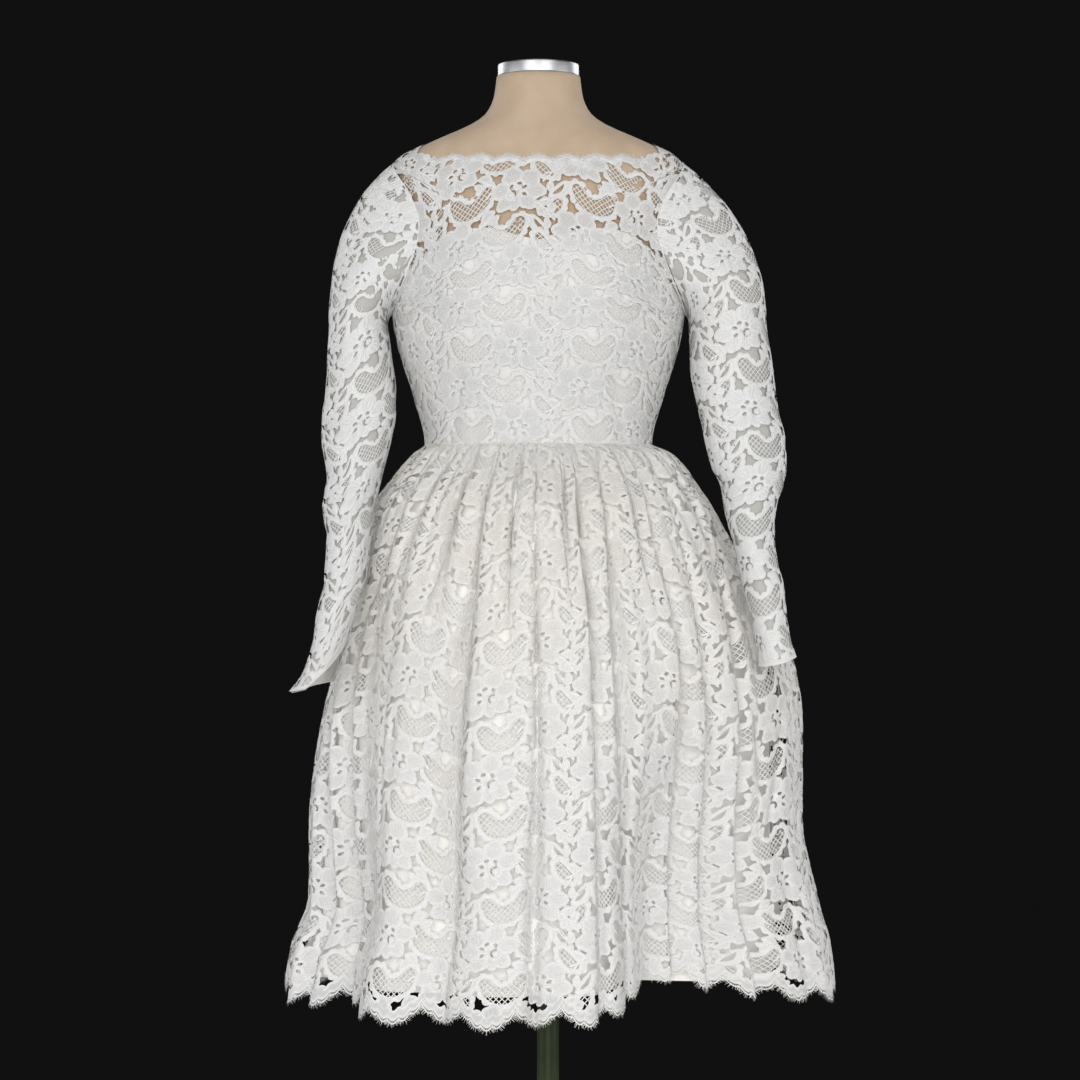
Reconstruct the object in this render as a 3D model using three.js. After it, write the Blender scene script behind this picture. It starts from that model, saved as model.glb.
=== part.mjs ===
// Knee-length lace wedding dress with long sleeves on a limbless dress form with a pole stand.
// Millimetres, +Z up. The front faces -Y and +X is the viewer's right.
// The origin is on the floor, on the axis of the pole.

import * as THREE from "three";

// Stand
const BASE_RADIUS = 210;
const BASE_RIM_HEIGHT = 9;
const BASE_HUB_RADIUS = 24;
const BASE_HUB_HEIGHT = 58;
const POLE_RADIUS = 12.5;
const STAND_SEGMENTS = 24;

// Dress form
const FORM_OFFSET_X = -11;
const FORM_COLUMNS = 24;
const FORM_EASE = 7;
const EASE_TOP_Z = 1450;
const EASE_FULL_Z = 1410;
const FORM_BOTTOM_Z = 750;
const NECK_TOP_Z = 1487;
const CAP_RADIUS = 46.5;
const CAP_HEIGHT = 14;
const CAP_EDGE = 2.5;
const CUP_ANGLE = 30;
const CUP_SPREAD = 24;

// Cloth
const SEAM_GAP = 0.3;
const LINING_THICKNESS = 1.4;
const LACE_THICKNESS = 1.4;
const LINING_LIFT = 1.4;
const LACE_LIFT = 5.2;
const PLACKET_LIFT = 7.2;
const PLACKET_WIDTH = 16;
const SEAM_ANGLE = 0.12;

// Bodice
const WAIST_Z = 1064;
const BUST_Z = 1225;
const BACK_SEAM = 0.003;
const NECK_SCALLOPS = 5;
const NECK_SCALLOP_HEIGHT = 8;
const NECK_SCALLOP_END = 0.85;
const NECK_SCALLOP_ROW = 0.95;

// Sleeves
const CAP_ROW = 0.7;
const CAP_Z = 1200;
const CAP_BULGE = 1.1;
const ARMHOLE_GAP = 3.5;
const SLEEVE_LINING_INSET = -3.7;
const CUFF_POINT = 11;
const SLEEVE_SEAM = 0.004;
const SHOULDER_SLOPE = { out: 0.8, down: 0.6 };

// Skirt
const GATHERS = 35;
const GATHER_HEIGHT = 4.5;
const GATHER_FULL_Z = 1034;
const GATHER_FADE_Z = 860;
const SKIRT_COLUMNS = 70;
const HEM_SCALLOPS = 28;
const HEM_Z = 446;
const HEM_SCALLOP_DEPTH = 14;
const SKIRT_LINING_HEM_Z = 468;
const SKIRT_LINING_COLUMNS = 26;

// Levels of the figure: half width, depth to the front and to the back, rise of the bust cups.
const FIGURE_SECTIONS = [
  { z: 750, halfWidth: 140, front: 84, back: 88, cup: 0 },
  { z: 758, halfWidth: 152, front: 93, back: 98, cup: 0 },
  { z: 790, halfWidth: 163, front: 101, back: 108, cup: 0 },
  { z: 880, halfWidth: 170, front: 107, back: 114, cup: 0 },
  { z: 950, halfWidth: 159, front: 103, back: 106, cup: 0 },
  { z: 1010, halfWidth: 138, front: 96, back: 93, cup: 0 },
  { z: 1064, halfWidth: 125, front: 89, back: 82, cup: 0 },
  { z: 1126, halfWidth: 140, front: 95, back: 87, cup: 3 },
  { z: 1185, halfWidth: 158, front: 107, back: 92, cup: 10 },
  { z: 1225, halfWidth: 163, front: 112, back: 95, cup: 12 },
  { z: 1260, halfWidth: 162, front: 110, back: 95, cup: 9 },
  { z: 1300, halfWidth: 159, front: 103, back: 94, cup: 4 },
  { z: 1340, halfWidth: 164, front: 92, back: 90, cup: 0 },
  { z: 1370, halfWidth: 167, front: 82, back: 86, cup: 0 },
  { z: 1388, halfWidth: 160, front: 75, back: 82, cup: 0 },
  { z: 1402, halfWidth: 144, front: 70, back: 79, cup: 0 },
  { z: 1414, halfWidth: 120, front: 66, back: 75, cup: 0 },
  { z: 1426, halfWidth: 91, front: 62, back: 69, cup: 0 },
  { z: 1436, halfWidth: 71, front: 58, back: 63, cup: 0 },
  { z: 1448, halfWidth: 58, front: 54, back: 56, cup: 0 },
  { z: 1465, halfWidth: 51, front: 51, back: 51, cup: 0 },
  { z: 1487, halfWidth: 48, front: 48, back: 48, cup: 0 },
];

// Armhole of the bodice, from the underarm up to the shoulder tip. Angles are degrees from the
// centre line, on the front and on the back.
const ARMHOLE = [
  { up: 0.5, front: 90, back: 90, z: 1215 },
  { up: 0.53, front: 84, back: 85, z: 1217 },
  { up: 0.56, front: 78, back: 80, z: 1224 },
  { up: 0.62, front: 66, back: 71, z: 1249 },
  { up: 0.68, front: 58, back: 65, z: 1282 },
  { up: 0.75, front: 55, back: 64, z: 1317 },
  { up: 0.82, front: 61, back: 68, z: 1351 },
  { up: 0.86, front: 73, back: 77, z: 1374 },
  { up: 0.9, front: 90, back: 90, z: 1386 },
];

// Neckline, from the centre line out to its end on the shoulder.
const NECKLINE = [
  { out: 0, angle: 0, front: 1381, back: 1384 },
  { out: 0.25, angle: 17, front: 1382, back: 1385 },
  { out: 0.5, angle: 35, front: 1384, back: 1387 },
  { out: 0.7, angle: 47, front: 1389, back: 1391 },
  { out: 0.85, angle: 58, front: 1400, back: 1401 },
  { out: 0.95, angle: 75, front: 1410, back: 1410 },
  { out: 1, angle: 90, front: 1414, back: 1414 },
];

// Top edge of the bodice lining, by degrees from the centre line.
const LINING_TOP = [
  { angle: 0, front: 1289, back: 1288 },
  { angle: 8, front: 1294, back: 1288 },
  { angle: 20, front: 1303, back: 1289 },
  { angle: 37, front: 1301, back: 1287 },
  { angle: 52, front: 1276, back: 1270 },
  { angle: 68, front: 1240, back: 1240 },
  { angle: 90, front: 1214, back: 1214 },
];

// Sleeves level by level: distance of the inner and outer edge from the centre, depth of the axis.
const SLEEVE_RIGHT = [
  { z: 826, inner: 244, outer: 285, y: -138, halfDepth: 30 },
  { z: 842, inner: 241, outer: 280, y: -135, halfDepth: 29 },
  { z: 865, inner: 237, outer: 276, y: -131, halfDepth: 29 },
  { z: 906, inner: 227, outer: 272, y: -120, halfDepth: 31 },
  { z: 930, inner: 223, outer: 267, y: -110, halfDepth: 32 },
  { z: 968, inner: 214, outer: 264, y: -92, halfDepth: 35 },
  { z: 990, inner: 209, outer: 267, y: -81, halfDepth: 38 },
  { z: 1015, inner: 206, outer: 276, y: -68, halfDepth: 42 },
  { z: 1039, inner: 196, outer: 282, y: -56, halfDepth: 46 },
  { z: 1070, inner: 189, outer: 280, y: -42, halfDepth: 47 },
  { z: 1107, inner: 182, outer: 273, y: -26, halfDepth: 49 },
  { z: 1153, inner: 174, outer: 268, y: -14, halfDepth: 51 },
  { z: 1200, inner: 173, outer: 262, y: -7, halfDepth: 52 },
];
const SLEEVE_LEFT = [
  { z: 788, inner: 228, outer: 274, y: -144, halfDepth: 30 },
  { z: 801, inner: 225, outer: 264, y: -142, halfDepth: 29 },
  { z: 818, inner: 219, outer: 256, y: -139, halfDepth: 29 },
  { z: 841, inner: 212, outer: 249, y: -135, halfDepth: 29 },
  { z: 880, inner: 200, outer: 244, y: -126, halfDepth: 31 },
  { z: 909, inner: 191, outer: 238, y: -117, halfDepth: 32 },
  { z: 954, inner: 187, outer: 236, y: -99, halfDepth: 34 },
  { z: 993, inner: 183, outer: 243, y: -79, halfDepth: 38 },
  { z: 1030, inner: 176, outer: 239, y: -61, halfDepth: 42 },
  { z: 1070, inner: 167, outer: 246, y: -44, halfDepth: 46 },
  { z: 1098, inner: 163, outer: 246, y: -31, halfDepth: 48 },
  { z: 1122, inner: 163, outer: 243, y: -22, halfDepth: 50 },
  { z: 1169, inner: 169, outer: 242, y: -11, halfDepth: 51 },
  { z: 1200, inner: 173, outer: 240, y: -7, halfDepth: 52 },
];

// Lace skirt level by level, without its folds: reach to each side, to the front and to the back.
const SKIRT_SECTIONS = [
  { z: 432, left: 294, right: 347, front: 276, back: 280 },
  { z: 484, left: 285, right: 341, front: 268, back: 272 },
  { z: 544, left: 263, right: 324, front: 258, back: 262 },
  { z: 636, left: 261, right: 304, front: 250, back: 254 },
  { z: 748, left: 247, right: 301, front: 240, back: 244 },
  { z: 822, left: 229, right: 289, front: 226, back: 232 },
  { z: 880, left: 216, right: 262, front: 211, back: 218 },
  { z: 945, left: 202, right: 222, front: 188, back: 198 },
  { z: 996, left: 182, right: 192, front: 162, back: 172 },
  { z: 1022, left: 162, right: 173, front: 141, back: 150 },
  { z: 1042, left: 148, right: 161, front: 119, back: 124 },
  { z: 1057, left: 136, right: 144, front: 103, back: 99 },
  { z: 1064, left: 130.2, right: 130.2, front: 94.2, back: 87.2 },
];

// Skirt lining level by level. It is cut less full than the lace.
const SKIRT_LINING_SECTIONS = [
  { z: 468, left: 266, right: 278, front: 254, back: 258 },
  { z: 544, left: 248, right: 272, front: 246, back: 250 },
  { z: 636, left: 244, right: 266, front: 238, back: 242 },
  { z: 748, left: 231, right: 260, front: 227, back: 231 },
  { z: 880, left: 203, right: 232, front: 198, back: 205 },
  { z: 945, left: 189, right: 204, front: 175, back: 185 },
  { z: 996, left: 169, right: 178, front: 149, back: 159 },
  { z: 1022, left: 150, right: 159, front: 128, back: 137 },
  { z: 1042, left: 138, right: 147, front: 108, back: 113 },
  { z: 1057, left: 130, right: 135, front: 96, back: 91 },
  { z: 1064, left: 126.4, right: 126.4, front: 90.4, back: 83.4 },
];

// Folds of the skirt: place in degrees from the front, half width, depth at the hem, lift of the hem
// and the height where the fold starts.
const FOLDS = [
  { angle: -84, spread: 8, depth: 16, lift: 6, startZ: 1040 },
  { angle: -55, spread: 9, depth: 44, lift: 8, startZ: 1000 },
  { angle: -25, spread: 7, depth: 20, lift: 3, startZ: 1040 },
  { angle: -10, spread: 6, depth: 10, lift: 0, startZ: 1040 },
  { angle: 4, spread: 7, depth: 14, lift: 4, startZ: 1040 },
  { angle: 36, spread: 15, depth: 112, lift: 28, startZ: 900 },
  { angle: 62, spread: 7, depth: 16, lift: 9, startZ: 1040 },
  { angle: 81, spread: 7, depth: 14, lift: 9, startZ: 1040 },
  { angle: 101, spread: 8, depth: 19, lift: 5, startZ: 1040 },
  { angle: 122, spread: 9, depth: 28, lift: 2, startZ: 1040 },
  { angle: 143, spread: 8, depth: 22, lift: 0, startZ: 1040 },
  { angle: 163, spread: 8, depth: 28, lift: 2, startZ: 1040 },
  { angle: 184, spread: 8, depth: 19, lift: 0, startZ: 1040 },
  { angle: 205, spread: 9, depth: 27, lift: 2, startZ: 1040 },
  { angle: 226, spread: 8, depth: 21, lift: 0, startZ: 1040 },
  { angle: 248, spread: 8, depth: 25, lift: 2, startZ: 1040 },
];

// Rows of each panel, from its lower to its upper edge.
const BODICE_LACE_ROWS = [0, 0.17, 0.33, 0.5, 0.56, 0.62, 0.68, 0.75, 0.82, 0.86, 0.9, NECK_SCALLOP_ROW, 1];
const BODICE_LINING_ROWS = [0, 0.2, 0.4, 0.6, 0.8, 1];
const SLEEVE_ROWS = [0, 0.1, 0.2, 0.3, 0.4, 0.5, 0.6, CAP_ROW, 0.78, 0.86, 0.93];
const SLEEVE_LACE_TOP = 1;
const SLEEVE_LINING_TOP = 0.975;
const SKIRT_ROW_Z = [482, 560, 720, 850, 955, 1034];
const SKIRT_LINING_ROW_Z = [620, 780, 910, 990, 1040];
const BODICE_COLUMNS = 24;
const BODICE_LINING_COLUMNS = 16;
const SLEEVE_COLUMNS = 7;
const PLACKET_COLUMNS = 2;

// Gaps of the lace: size, the rows and cells of the walls that have one, and the outline as shares
// of its width and height.
const GAP_HEIGHT = 19;
const HEM_GAP_HEIGHT = 13;
const HEM_GAP_EVERY = 5;
const YOKE_GAP_ROWS = [6, 7, 10];
const YOKE_GAP_REACH = 0.72;
const YOKE_GAP_EVERY = 4;
const YOKE_CELL_HEIGHT = 22;
const SLEEVE_GAP_EVERY = 6;
const SLEEVE_GAP_ROWS = 8;
const SLEEVE_CELL_HEIGHT = 57;
const SKIRT_GAP_EVERY = 16;
const SKIRT_GAP_SHIFT = 6;
const LEAF_GAP = [
  { across: 0.16, up: 0.28 },
  { across: 0.5, up: 0 },
  { across: 0.86, up: 0.3 },
  { across: 0.82, up: 0.74 },
  { across: 0.46, up: 1 },
  { across: 0.18, up: 0.68 },
];
const HEM_GAP = [
  { across: 0.18, up: 0 },
  { across: 0.82, up: 0 },
  { across: 0.76, up: 1 },
  { across: 0.24, up: 1 },
];

const IVORY = 0xe9e6dd;
const SATIN = 0xe8dfcc;
const LINEN = 0xc1a88a;
const SILVER = 0xc9ccd0;
const GREEN = 0x2d3a26;

const radians = THREE.MathUtils.degToRad;
const mix = THREE.MathUtils.lerp;
const ease = THREE.MathUtils.smoothstep;

// Smooth value of a column of a table at a place along another column, with no overshoot.
function valueAt(table, along, column, place) {
  const last = table.length - 1;
  const at = THREE.MathUtils.clamp(place, table[0][along], table[last][along]);
  const next = Math.max(1, table.findIndex((row) => row[along] >= at));
  const low = table[next - 1];
  const high = table[next];
  const span = high[along] - low[along];
  const slope = (a, b) => (b[column] - a[column]) / (b[along] - a[along]);
  const here = slope(low, high);
  const shared = (other) => (here * other > 0 ? (2 * here * other) / (here + other) : 0);
  const before = span * (next > 1 ? shared(slope(table[next - 2], low)) : here);
  const after = span * (next < last ? shared(slope(high, table[next + 1])) : here);
  const share = (at - low[along]) / span;
  const square = share * share;
  const cube = square * share;
  return (2 * cube - 3 * square + 1) * low[column] + (cube - 2 * square + share) * before
    + (3 * square - 2 * cube) * high[column] + (cube - square) * after;
}

// Point of the figure the dress is cut for, at an angle from the centre front and a height.
function figurePoint(degrees, z) {
  const angle = radians(degrees);
  const toFront = Math.cos(angle);
  const deep = valueAt(FIGURE_SECTIONS, "z", toFront > 0 ? "front" : "back", z);
  const off = (Math.abs(degrees) - CUP_ANGLE) / CUP_SPREAD;
  const cup = toFront > 0 ? valueAt(FIGURE_SECTIONS, "z", "cup", z) * Math.exp(-off * off) * toFront : 0;
  return new THREE.Vector3(
    valueAt(FIGURE_SECTIONS, "z", "halfWidth", z) * Math.sin(angle),
    -deep * toFront - cup,
    z,
  );
}

// Unit normal of a sheet point(u, v) inside its limits, on the side where u turns anticlockwise to v.
function sheetNormal(point, u, v, limits) {
  const step = 1e-3;
  const along = point(Math.min(u + step, limits.uHigh), v).sub(point(Math.max(u - step, limits.uLow), v));
  const up = point(u, Math.min(v + step, limits.vHigh)).sub(point(u, Math.max(v - step, limits.vLow)));
  return along.cross(up).normalize();
}

function meshOf(positions, index) {
  const geometry = new THREE.BufferGeometry().setFromPoints(positions);
  geometry.setIndex(index);
  geometry.computeVertexNormals();
  return geometry;
}

// Closed wall of even thickness along a sheet point(u, v), moved out by lift.
// Cells for which gap(column, row, middle u) gives an outline are cut through.
// The row of v named waist is cut level.
function clothWall({ point, us, vs, lift, thickness, closed = false, waist = null, gap = () => null }) {
  const columns = us.length - 1;
  const rows = vs.length - 1;
  const width = closed ? columns : columns + 1;
  const positions = [];
  const index = [];
  const sheetSize = width * (rows + 1);
  const limits = {
    uLow: closed ? -Infinity : us[0],
    uHigh: closed ? Infinity : us[columns],
    vLow: vs[0],
    vHigh: vs[rows],
  };
  for (const side of [lift + thickness / 2, lift - thickness / 2]) {
    for (const v of vs) {
      for (const u of us.slice(0, width)) {
        const normal = sheetNormal(point, u, v, limits);
        if (v === waist) {
          normal.setZ(0).normalize();
        }
        positions.push(point(u, v).addScaledVector(normal, side));
      }
    }
  }
  const corner = (face, i, j) => face * sheetSize + j * width + (i % width);
  const quad = (a, b, c, d) => index.push(a, b, c, a, c, d);
  const cellPoint = (face, i, j, { x, y }) => {
    const low = positions[corner(face, i, j)].clone().lerp(positions[corner(face, i + 1, j)], x);
    const high = positions[corner(face, i, j + 1)].clone().lerp(positions[corner(face, i + 1, j + 1)], x);
    return positions.push(low.lerp(high, y)) - 1;
  };
  const square = [[0, 0], [1, 0], [1, 1], [0, 1]].map((p) => new THREE.Vector2(...p));
  for (let j = 0; j < rows; j += 1) {
    for (let i = 0; i < columns; i += 1) {
      const outer = [corner(0, i, j), corner(0, i + 1, j), corner(0, i + 1, j + 1), corner(0, i, j + 1)];
      const inner = [corner(1, i, j), corner(1, i + 1, j), corner(1, i + 1, j + 1), corner(1, i, j + 1)];
      const hole = gap(i, j, (us[i] + us[i + 1]) / 2);
      if (!hole) {
        quad(...outer);
        quad(inner[0], inner[3], inner[2], inner[1]);
        continue;
      }
      const outerRing = hole.map((p) => cellPoint(0, i, j, p));
      const innerRing = hole.map((p) => cellPoint(1, i, j, p));
      const places = [...square, ...hole];
      for (const face of THREE.ShapeUtils.triangulateShape([...square], [[...hole]])) {
        const [a, b, c] = face.map((k) => places[k]);
        const turn = b.clone().sub(a).cross(c.clone().sub(a));
        const [p, q, r] = turn > 0 ? face : [face[0], face[2], face[1]];
        const pick = (corners, ring, k) => (k < square.length ? corners[k] : ring[k - square.length]);
        index.push(pick(outer, outerRing, p), pick(outer, outerRing, q), pick(outer, outerRing, r));
        index.push(pick(inner, innerRing, p), pick(inner, innerRing, r), pick(inner, innerRing, q));
      }
      outerRing.forEach((from, k) => {
        const n = (k + 1) % outerRing.length;
        quad(from, outerRing[n], innerRing[n], innerRing[k]);
      });
    }
  }
  for (let i = 0; i < columns; i += 1) {
    quad(corner(1, i, 0), corner(1, i + 1, 0), corner(0, i + 1, 0), corner(0, i, 0));
    quad(corner(0, i, rows), corner(0, i + 1, rows), corner(1, i + 1, rows), corner(1, i, rows));
  }
  for (let j = 0; j < rows && !closed; j += 1) {
    quad(corner(0, 0, j), corner(0, 0, j + 1), corner(1, 0, j + 1), corner(1, 0, j));
    quad(
      corner(1, columns, j),
      corner(1, columns, j + 1),
      corner(0, columns, j + 1),
      corner(0, columns, j),
    );
  }
  return meshOf(positions, index);
}

// Outline of a gap of a given height, centred in a cell of a given height.
function gapIn(cellHeight, outline, height) {
  return outline.map(({ across, up }) => new THREE.Vector2(across, 0.5 + ((up - 0.5) * height) / cellHeight));
}

const evenly = (from, to, count) => Array.from({ length: count + 1 }, (_, k) => mix(from, to, k / count));

const lace = new THREE.MeshStandardMaterial({ color: IVORY, roughness: 0.85, metalness: 0 });
const satin = new THREE.MeshStandardMaterial({ color: SATIN, roughness: 0.45, metalness: 0 });
const linen = new THREE.MeshStandardMaterial({ color: LINEN, roughness: 0.9, metalness: 0 });
const silver = new THREE.MeshStandardMaterial({ color: SILVER, roughness: 0.25, metalness: 1 });
const enamel = new THREE.MeshStandardMaterial({ color: GREEN, roughness: 0.4, metalness: 0.3 });

const part = new THREE.Group();
const dressedForm = new THREE.Group();
dressedForm.position.x = FORM_OFFSET_X;
part.add(dressedForm);

function addPiece(parent, name, geometry, material) {
  const mesh = new THREE.Mesh(geometry, material);
  mesh.name = name;
  parent.add(mesh);
}

// Turned piece about the vertical axis from rows of radius and height.
function turned(profile) {
  const points = profile.map(({ radius, z }) => new THREE.Vector2(radius, z));
  return new THREE.LatheGeometry(points, STAND_SEGMENTS).rotateX(Math.PI / 2).rotateZ(Math.PI);
}

// Stand
addPiece(part, "stand_base", turned([
  { radius: 0, z: 0 },
  { radius: BASE_RADIUS, z: 0 },
  { radius: BASE_RADIUS, z: BASE_RIM_HEIGHT },
  { radius: BASE_HUB_RADIUS * 2, z: BASE_RIM_HEIGHT * 2 },
  { radius: BASE_HUB_RADIUS, z: BASE_RIM_HEIGHT * 3 },
  { radius: BASE_HUB_RADIUS, z: BASE_HUB_HEIGHT },
  { radius: 0, z: BASE_HUB_HEIGHT },
]), enamel);
addPiece(part, "stand_pole", turned([
  { radius: 0, z: BASE_HUB_HEIGHT + SEAM_GAP },
  { radius: POLE_RADIUS, z: BASE_HUB_HEIGHT + SEAM_GAP },
  { radius: POLE_RADIUS, z: FORM_BOTTOM_Z - SEAM_GAP },
  { radius: 0, z: FORM_BOTTOM_Z - SEAM_GAP },
]), enamel);

// Dress form, a little slimmer than the figure below the neck
function formTorso() {
  const positions = [];
  const index = [];
  FIGURE_SECTIONS.forEach(({ z }) => {
    const inset = FORM_EASE * ease(EASE_TOP_Z - z, 0, EASE_TOP_Z - EASE_FULL_Z);
    for (let i = 0; i < FORM_COLUMNS; i += 1) {
      const point = figurePoint((i / FORM_COLUMNS) * 360 - 180, z);
      const reach = Math.hypot(point.x, point.y);
      const share = (reach - inset) / reach;
      positions.push(new THREE.Vector3(point.x * share, point.y * share, z));
    }
  });
  const last = FIGURE_SECTIONS.length - 1;
  const corner = (i, j) => j * FORM_COLUMNS + (i % FORM_COLUMNS);
  const bottom = positions.push(new THREE.Vector3(0, 0, FORM_BOTTOM_Z)) - 1;
  const top = positions.push(new THREE.Vector3(0, 0, NECK_TOP_Z)) - 1;
  for (let i = 0; i < FORM_COLUMNS; i += 1) {
    for (let j = 0; j < last; j += 1) {
      index.push(corner(i, j), corner(i + 1, j), corner(i + 1, j + 1));
      index.push(corner(i, j), corner(i + 1, j + 1), corner(i, j + 1));
    }
    index.push(bottom, corner(i + 1, 0), corner(i, 0));
    index.push(top, corner(i, last), corner(i + 1, last));
  }
  return meshOf(positions, index);
}
addPiece(dressedForm, "form_torso", formTorso(), linen);
const capBottom = NECK_TOP_Z + SEAM_GAP;
addPiece(dressedForm, "form_neck_cap", turned([
  { radius: 0, z: capBottom },
  { radius: CAP_RADIUS, z: capBottom },
  { radius: CAP_RADIUS, z: capBottom + CAP_HEIGHT - CAP_EDGE },
  { radius: CAP_RADIUS - CAP_EDGE, z: capBottom + CAP_HEIGHT },
  { radius: 0, z: capBottom + CAP_HEIGHT },
]), silver);

// Degrees brought back to the range from -180 to 180.
function wrap(degrees) {
  return degrees > 180 ? degrees - 360 : degrees;
}

// Bodice lining: from the waist to the shaped top edge, on the front or the back of the form.
function liningPoint(side) {
  const turn = side === "front" ? 0 : 180;
  return (u, v) => {
    const top = valueAt(LINING_TOP, "angle", side, Math.abs(u));
    return figurePoint(wrap(turn + u), mix(WAIST_Z, top, v));
  };
}
for (const side of ["front", "back"]) {
  const reach = 90 - SEAM_ANGLE;
  addPiece(dressedForm, `bodice_lining_${side}`, clothWall({
    point: liningPoint(side),
    us: evenly(-reach, reach, BODICE_LINING_COLUMNS),
    vs: BODICE_LINING_ROWS,
    lift: LINING_LIFT,
    thickness: LINING_THICKNESS,
    waist: 0,
  }), satin);
}

// Place on the form, as degrees from the centre line and height, of a point of a bodice lace panel:
// out runs from the centre line to the side, up from the waist to the neck and shoulder.
function panelPlace(side, out, up) {
  const underarm = ARMHOLE[0];
  const tip = ARMHOLE[ARMHOLE.length - 1];
  const neckCentre = NECKLINE[0][side];
  const neckEnd = NECKLINE[NECKLINE.length - 1][side];
  let edgeZ = valueAt(ARMHOLE, "up", "z", up);
  if (up < underarm.up) {
    edgeZ = mix(WAIST_Z, underarm.z, up / underarm.up);
  } else if (up > tip.up) {
    edgeZ = mix(tip.z, neckEnd, (up - tip.up) / (1 - tip.up));
  }
  const neckShare = valueAt(NECKLINE, "out", "angle", out) / 90;
  const degrees = valueAt(ARMHOLE, "up", side, up) * mix(out, neckShare, up ** 3);
  const z = up * (valueAt(NECKLINE, "out", side, out) - mix(neckCentre, neckEnd, out))
    + mix(mix(WAIST_Z, neckCentre, up), edgeZ, out);
  return { degrees, z };
}

// Rise of the scalloped neck edge.
function neckScallop(out, up) {
  const inside = 1 - ease(out, NECK_SCALLOP_END / 2, NECK_SCALLOP_END);
  const wave = Math.abs(Math.cos(out * (NECK_SCALLOPS / 2) * Math.PI));
  return NECK_SCALLOP_HEIGHT * inside * wave * ease(up, NECK_SCALLOP_ROW, 1);
}

// Point of the figure under a bodice lace panel: u from side to side, v from the waist up.
function bodiceLacePoint(side) {
  const turn = side === "front" ? 0 : 180;
  return (u, v) => {
    const out = Math.min(1, Math.abs(u));
    const { degrees, z } = panelPlace(side, out, v);
    const sewn = degrees * (1 - SEAM_ANGLE / 90);
    return figurePoint(wrap(turn + Math.sign(u) * sewn), z + neckScallop(out, v));
  };
}

const yokeLeaf = gapIn(YOKE_CELL_HEIGHT, LEAF_GAP, GAP_HEIGHT);
const yokeGap = (i, j, middle) => {
  const open = YOKE_GAP_ROWS.includes(j) && (i + 2 * (j % 2)) % YOKE_GAP_EVERY === 1;
  return open && Math.abs(middle) < YOKE_GAP_REACH ? yokeLeaf : null;
};
addPiece(dressedForm, "bodice_lace_front", clothWall({
  point: bodiceLacePoint("front"),
  us: evenly(-1, 1, BODICE_COLUMNS),
  vs: BODICE_LACE_ROWS,
  lift: LACE_LIFT,
  thickness: LACE_THICKNESS,
  waist: 0,
  gap: yokeGap,
}), lace);
for (const [name, from, to] of [["left", BACK_SEAM, 1], ["right", -1, -BACK_SEAM]]) {
  addPiece(dressedForm, `bodice_lace_back_${name}`, clothWall({
    point: bodiceLacePoint("back"),
    us: evenly(from, to, BODICE_COLUMNS / 2),
    vs: BODICE_LACE_ROWS,
    lift: LACE_LIFT,
    thickness: LACE_THICKNESS,
    waist: 0,
    gap: yokeGap,
  }), lace);
}
const bustHalfWidth = valueAt(FIGURE_SECTIONS, "z", "halfWidth", BUST_Z);
const placketHalf = THREE.MathUtils.radToDeg(PLACKET_WIDTH / 2 / bustHalfWidth) / 90;
addPiece(dressedForm, "back_placket", clothWall({
  point: bodiceLacePoint("back"),
  us: evenly(-placketHalf, placketHalf, PLACKET_COLUMNS),
  vs: BODICE_LACE_ROWS,
  lift: PLACKET_LIFT,
  thickness: LACE_THICKNESS,
  waist: 0,
}), lace);

const FIGURE_LIMITS = { uLow: -Infinity, uHigh: Infinity, vLow: FORM_BOTTOM_Z, vHigh: NECK_TOP_Z };

// Sleeves: around runs from the underarm over the front and the outside to the back.
function sleevePoint(table, sign) {
  const ring = (around, z) => {
    const inner = valueAt(table, "z", "inner", z);
    const outer = valueAt(table, "z", "outer", z);
    const turn = around * 2 * Math.PI;
    return new THREE.Vector3(
      sign * ((inner + outer) / 2 - ((outer - inner) / 2) * Math.cos(turn)),
      valueAt(table, "z", "y", z) - valueAt(table, "z", "halfDepth", z) * Math.sin(turn),
      z,
    );
  };
  const cuffZ = table[0].z;
  const outward = new THREE.Vector3(sign * SHOULDER_SLOPE.out, 0, -SHOULDER_SLOPE.down);
  const down = new THREE.Vector3(0, 0, -1);
  return (u, v) => {
    const around = THREE.MathUtils.euclideanModulo(sign > 0 ? u : 1 - u, 1);
    if (v <= CAP_ROW) {
      const low = cuffZ + CUFF_POINT * (0.5 + 0.5 * Math.cos(around * 2 * Math.PI));
      return ring(around, mix(low, CAP_Z, v / CAP_ROW));
    }
    const fromUnderarm = 2 * Math.min(around, 1 - around);
    const up = mix(ARMHOLE[0].up, ARMHOLE[ARMHOLE.length - 1].up, fromUnderarm);
    const side = around < 0.5 ? "front" : "back";
    const degrees = valueAt(ARMHOLE, "up", side, up);
    const z = valueAt(ARMHOLE, "up", "z", up);
    const place = side === "front" ? sign * degrees : sign * (180 - degrees);
    const start = figurePoint(place, z);
    start.addScaledVector(sheetNormal(figurePoint, place, z, FIGURE_LIMITS), LACE_LIFT);
    start.addScaledVector(outward, ARMHOLE_GAP);
    const end = ring(around, CAP_Z);
    const reach = start.distanceTo(end) * CAP_BULGE;
    const share = (1 - v) / (1 - CAP_ROW);
    const square = share * share;
    const cube = square * share;
    return start.multiplyScalar(2 * cube - 3 * square + 1)
      .addScaledVector(outward, (cube - 2 * square + share) * reach)
      .addScaledVector(end, 3 * square - 2 * cube)
      .addScaledVector(down, (cube - square) * reach);
  };
}
const sleeveLeaf = gapIn(SLEEVE_CELL_HEIGHT, LEAF_GAP, GAP_HEIGHT);
const sleeveGap = (i, j) => {
  const open = j < SLEEVE_GAP_ROWS && (i + 2 * j) % SLEEVE_GAP_EVERY === 2;
  return open ? sleeveLeaf : null;
};
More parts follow.
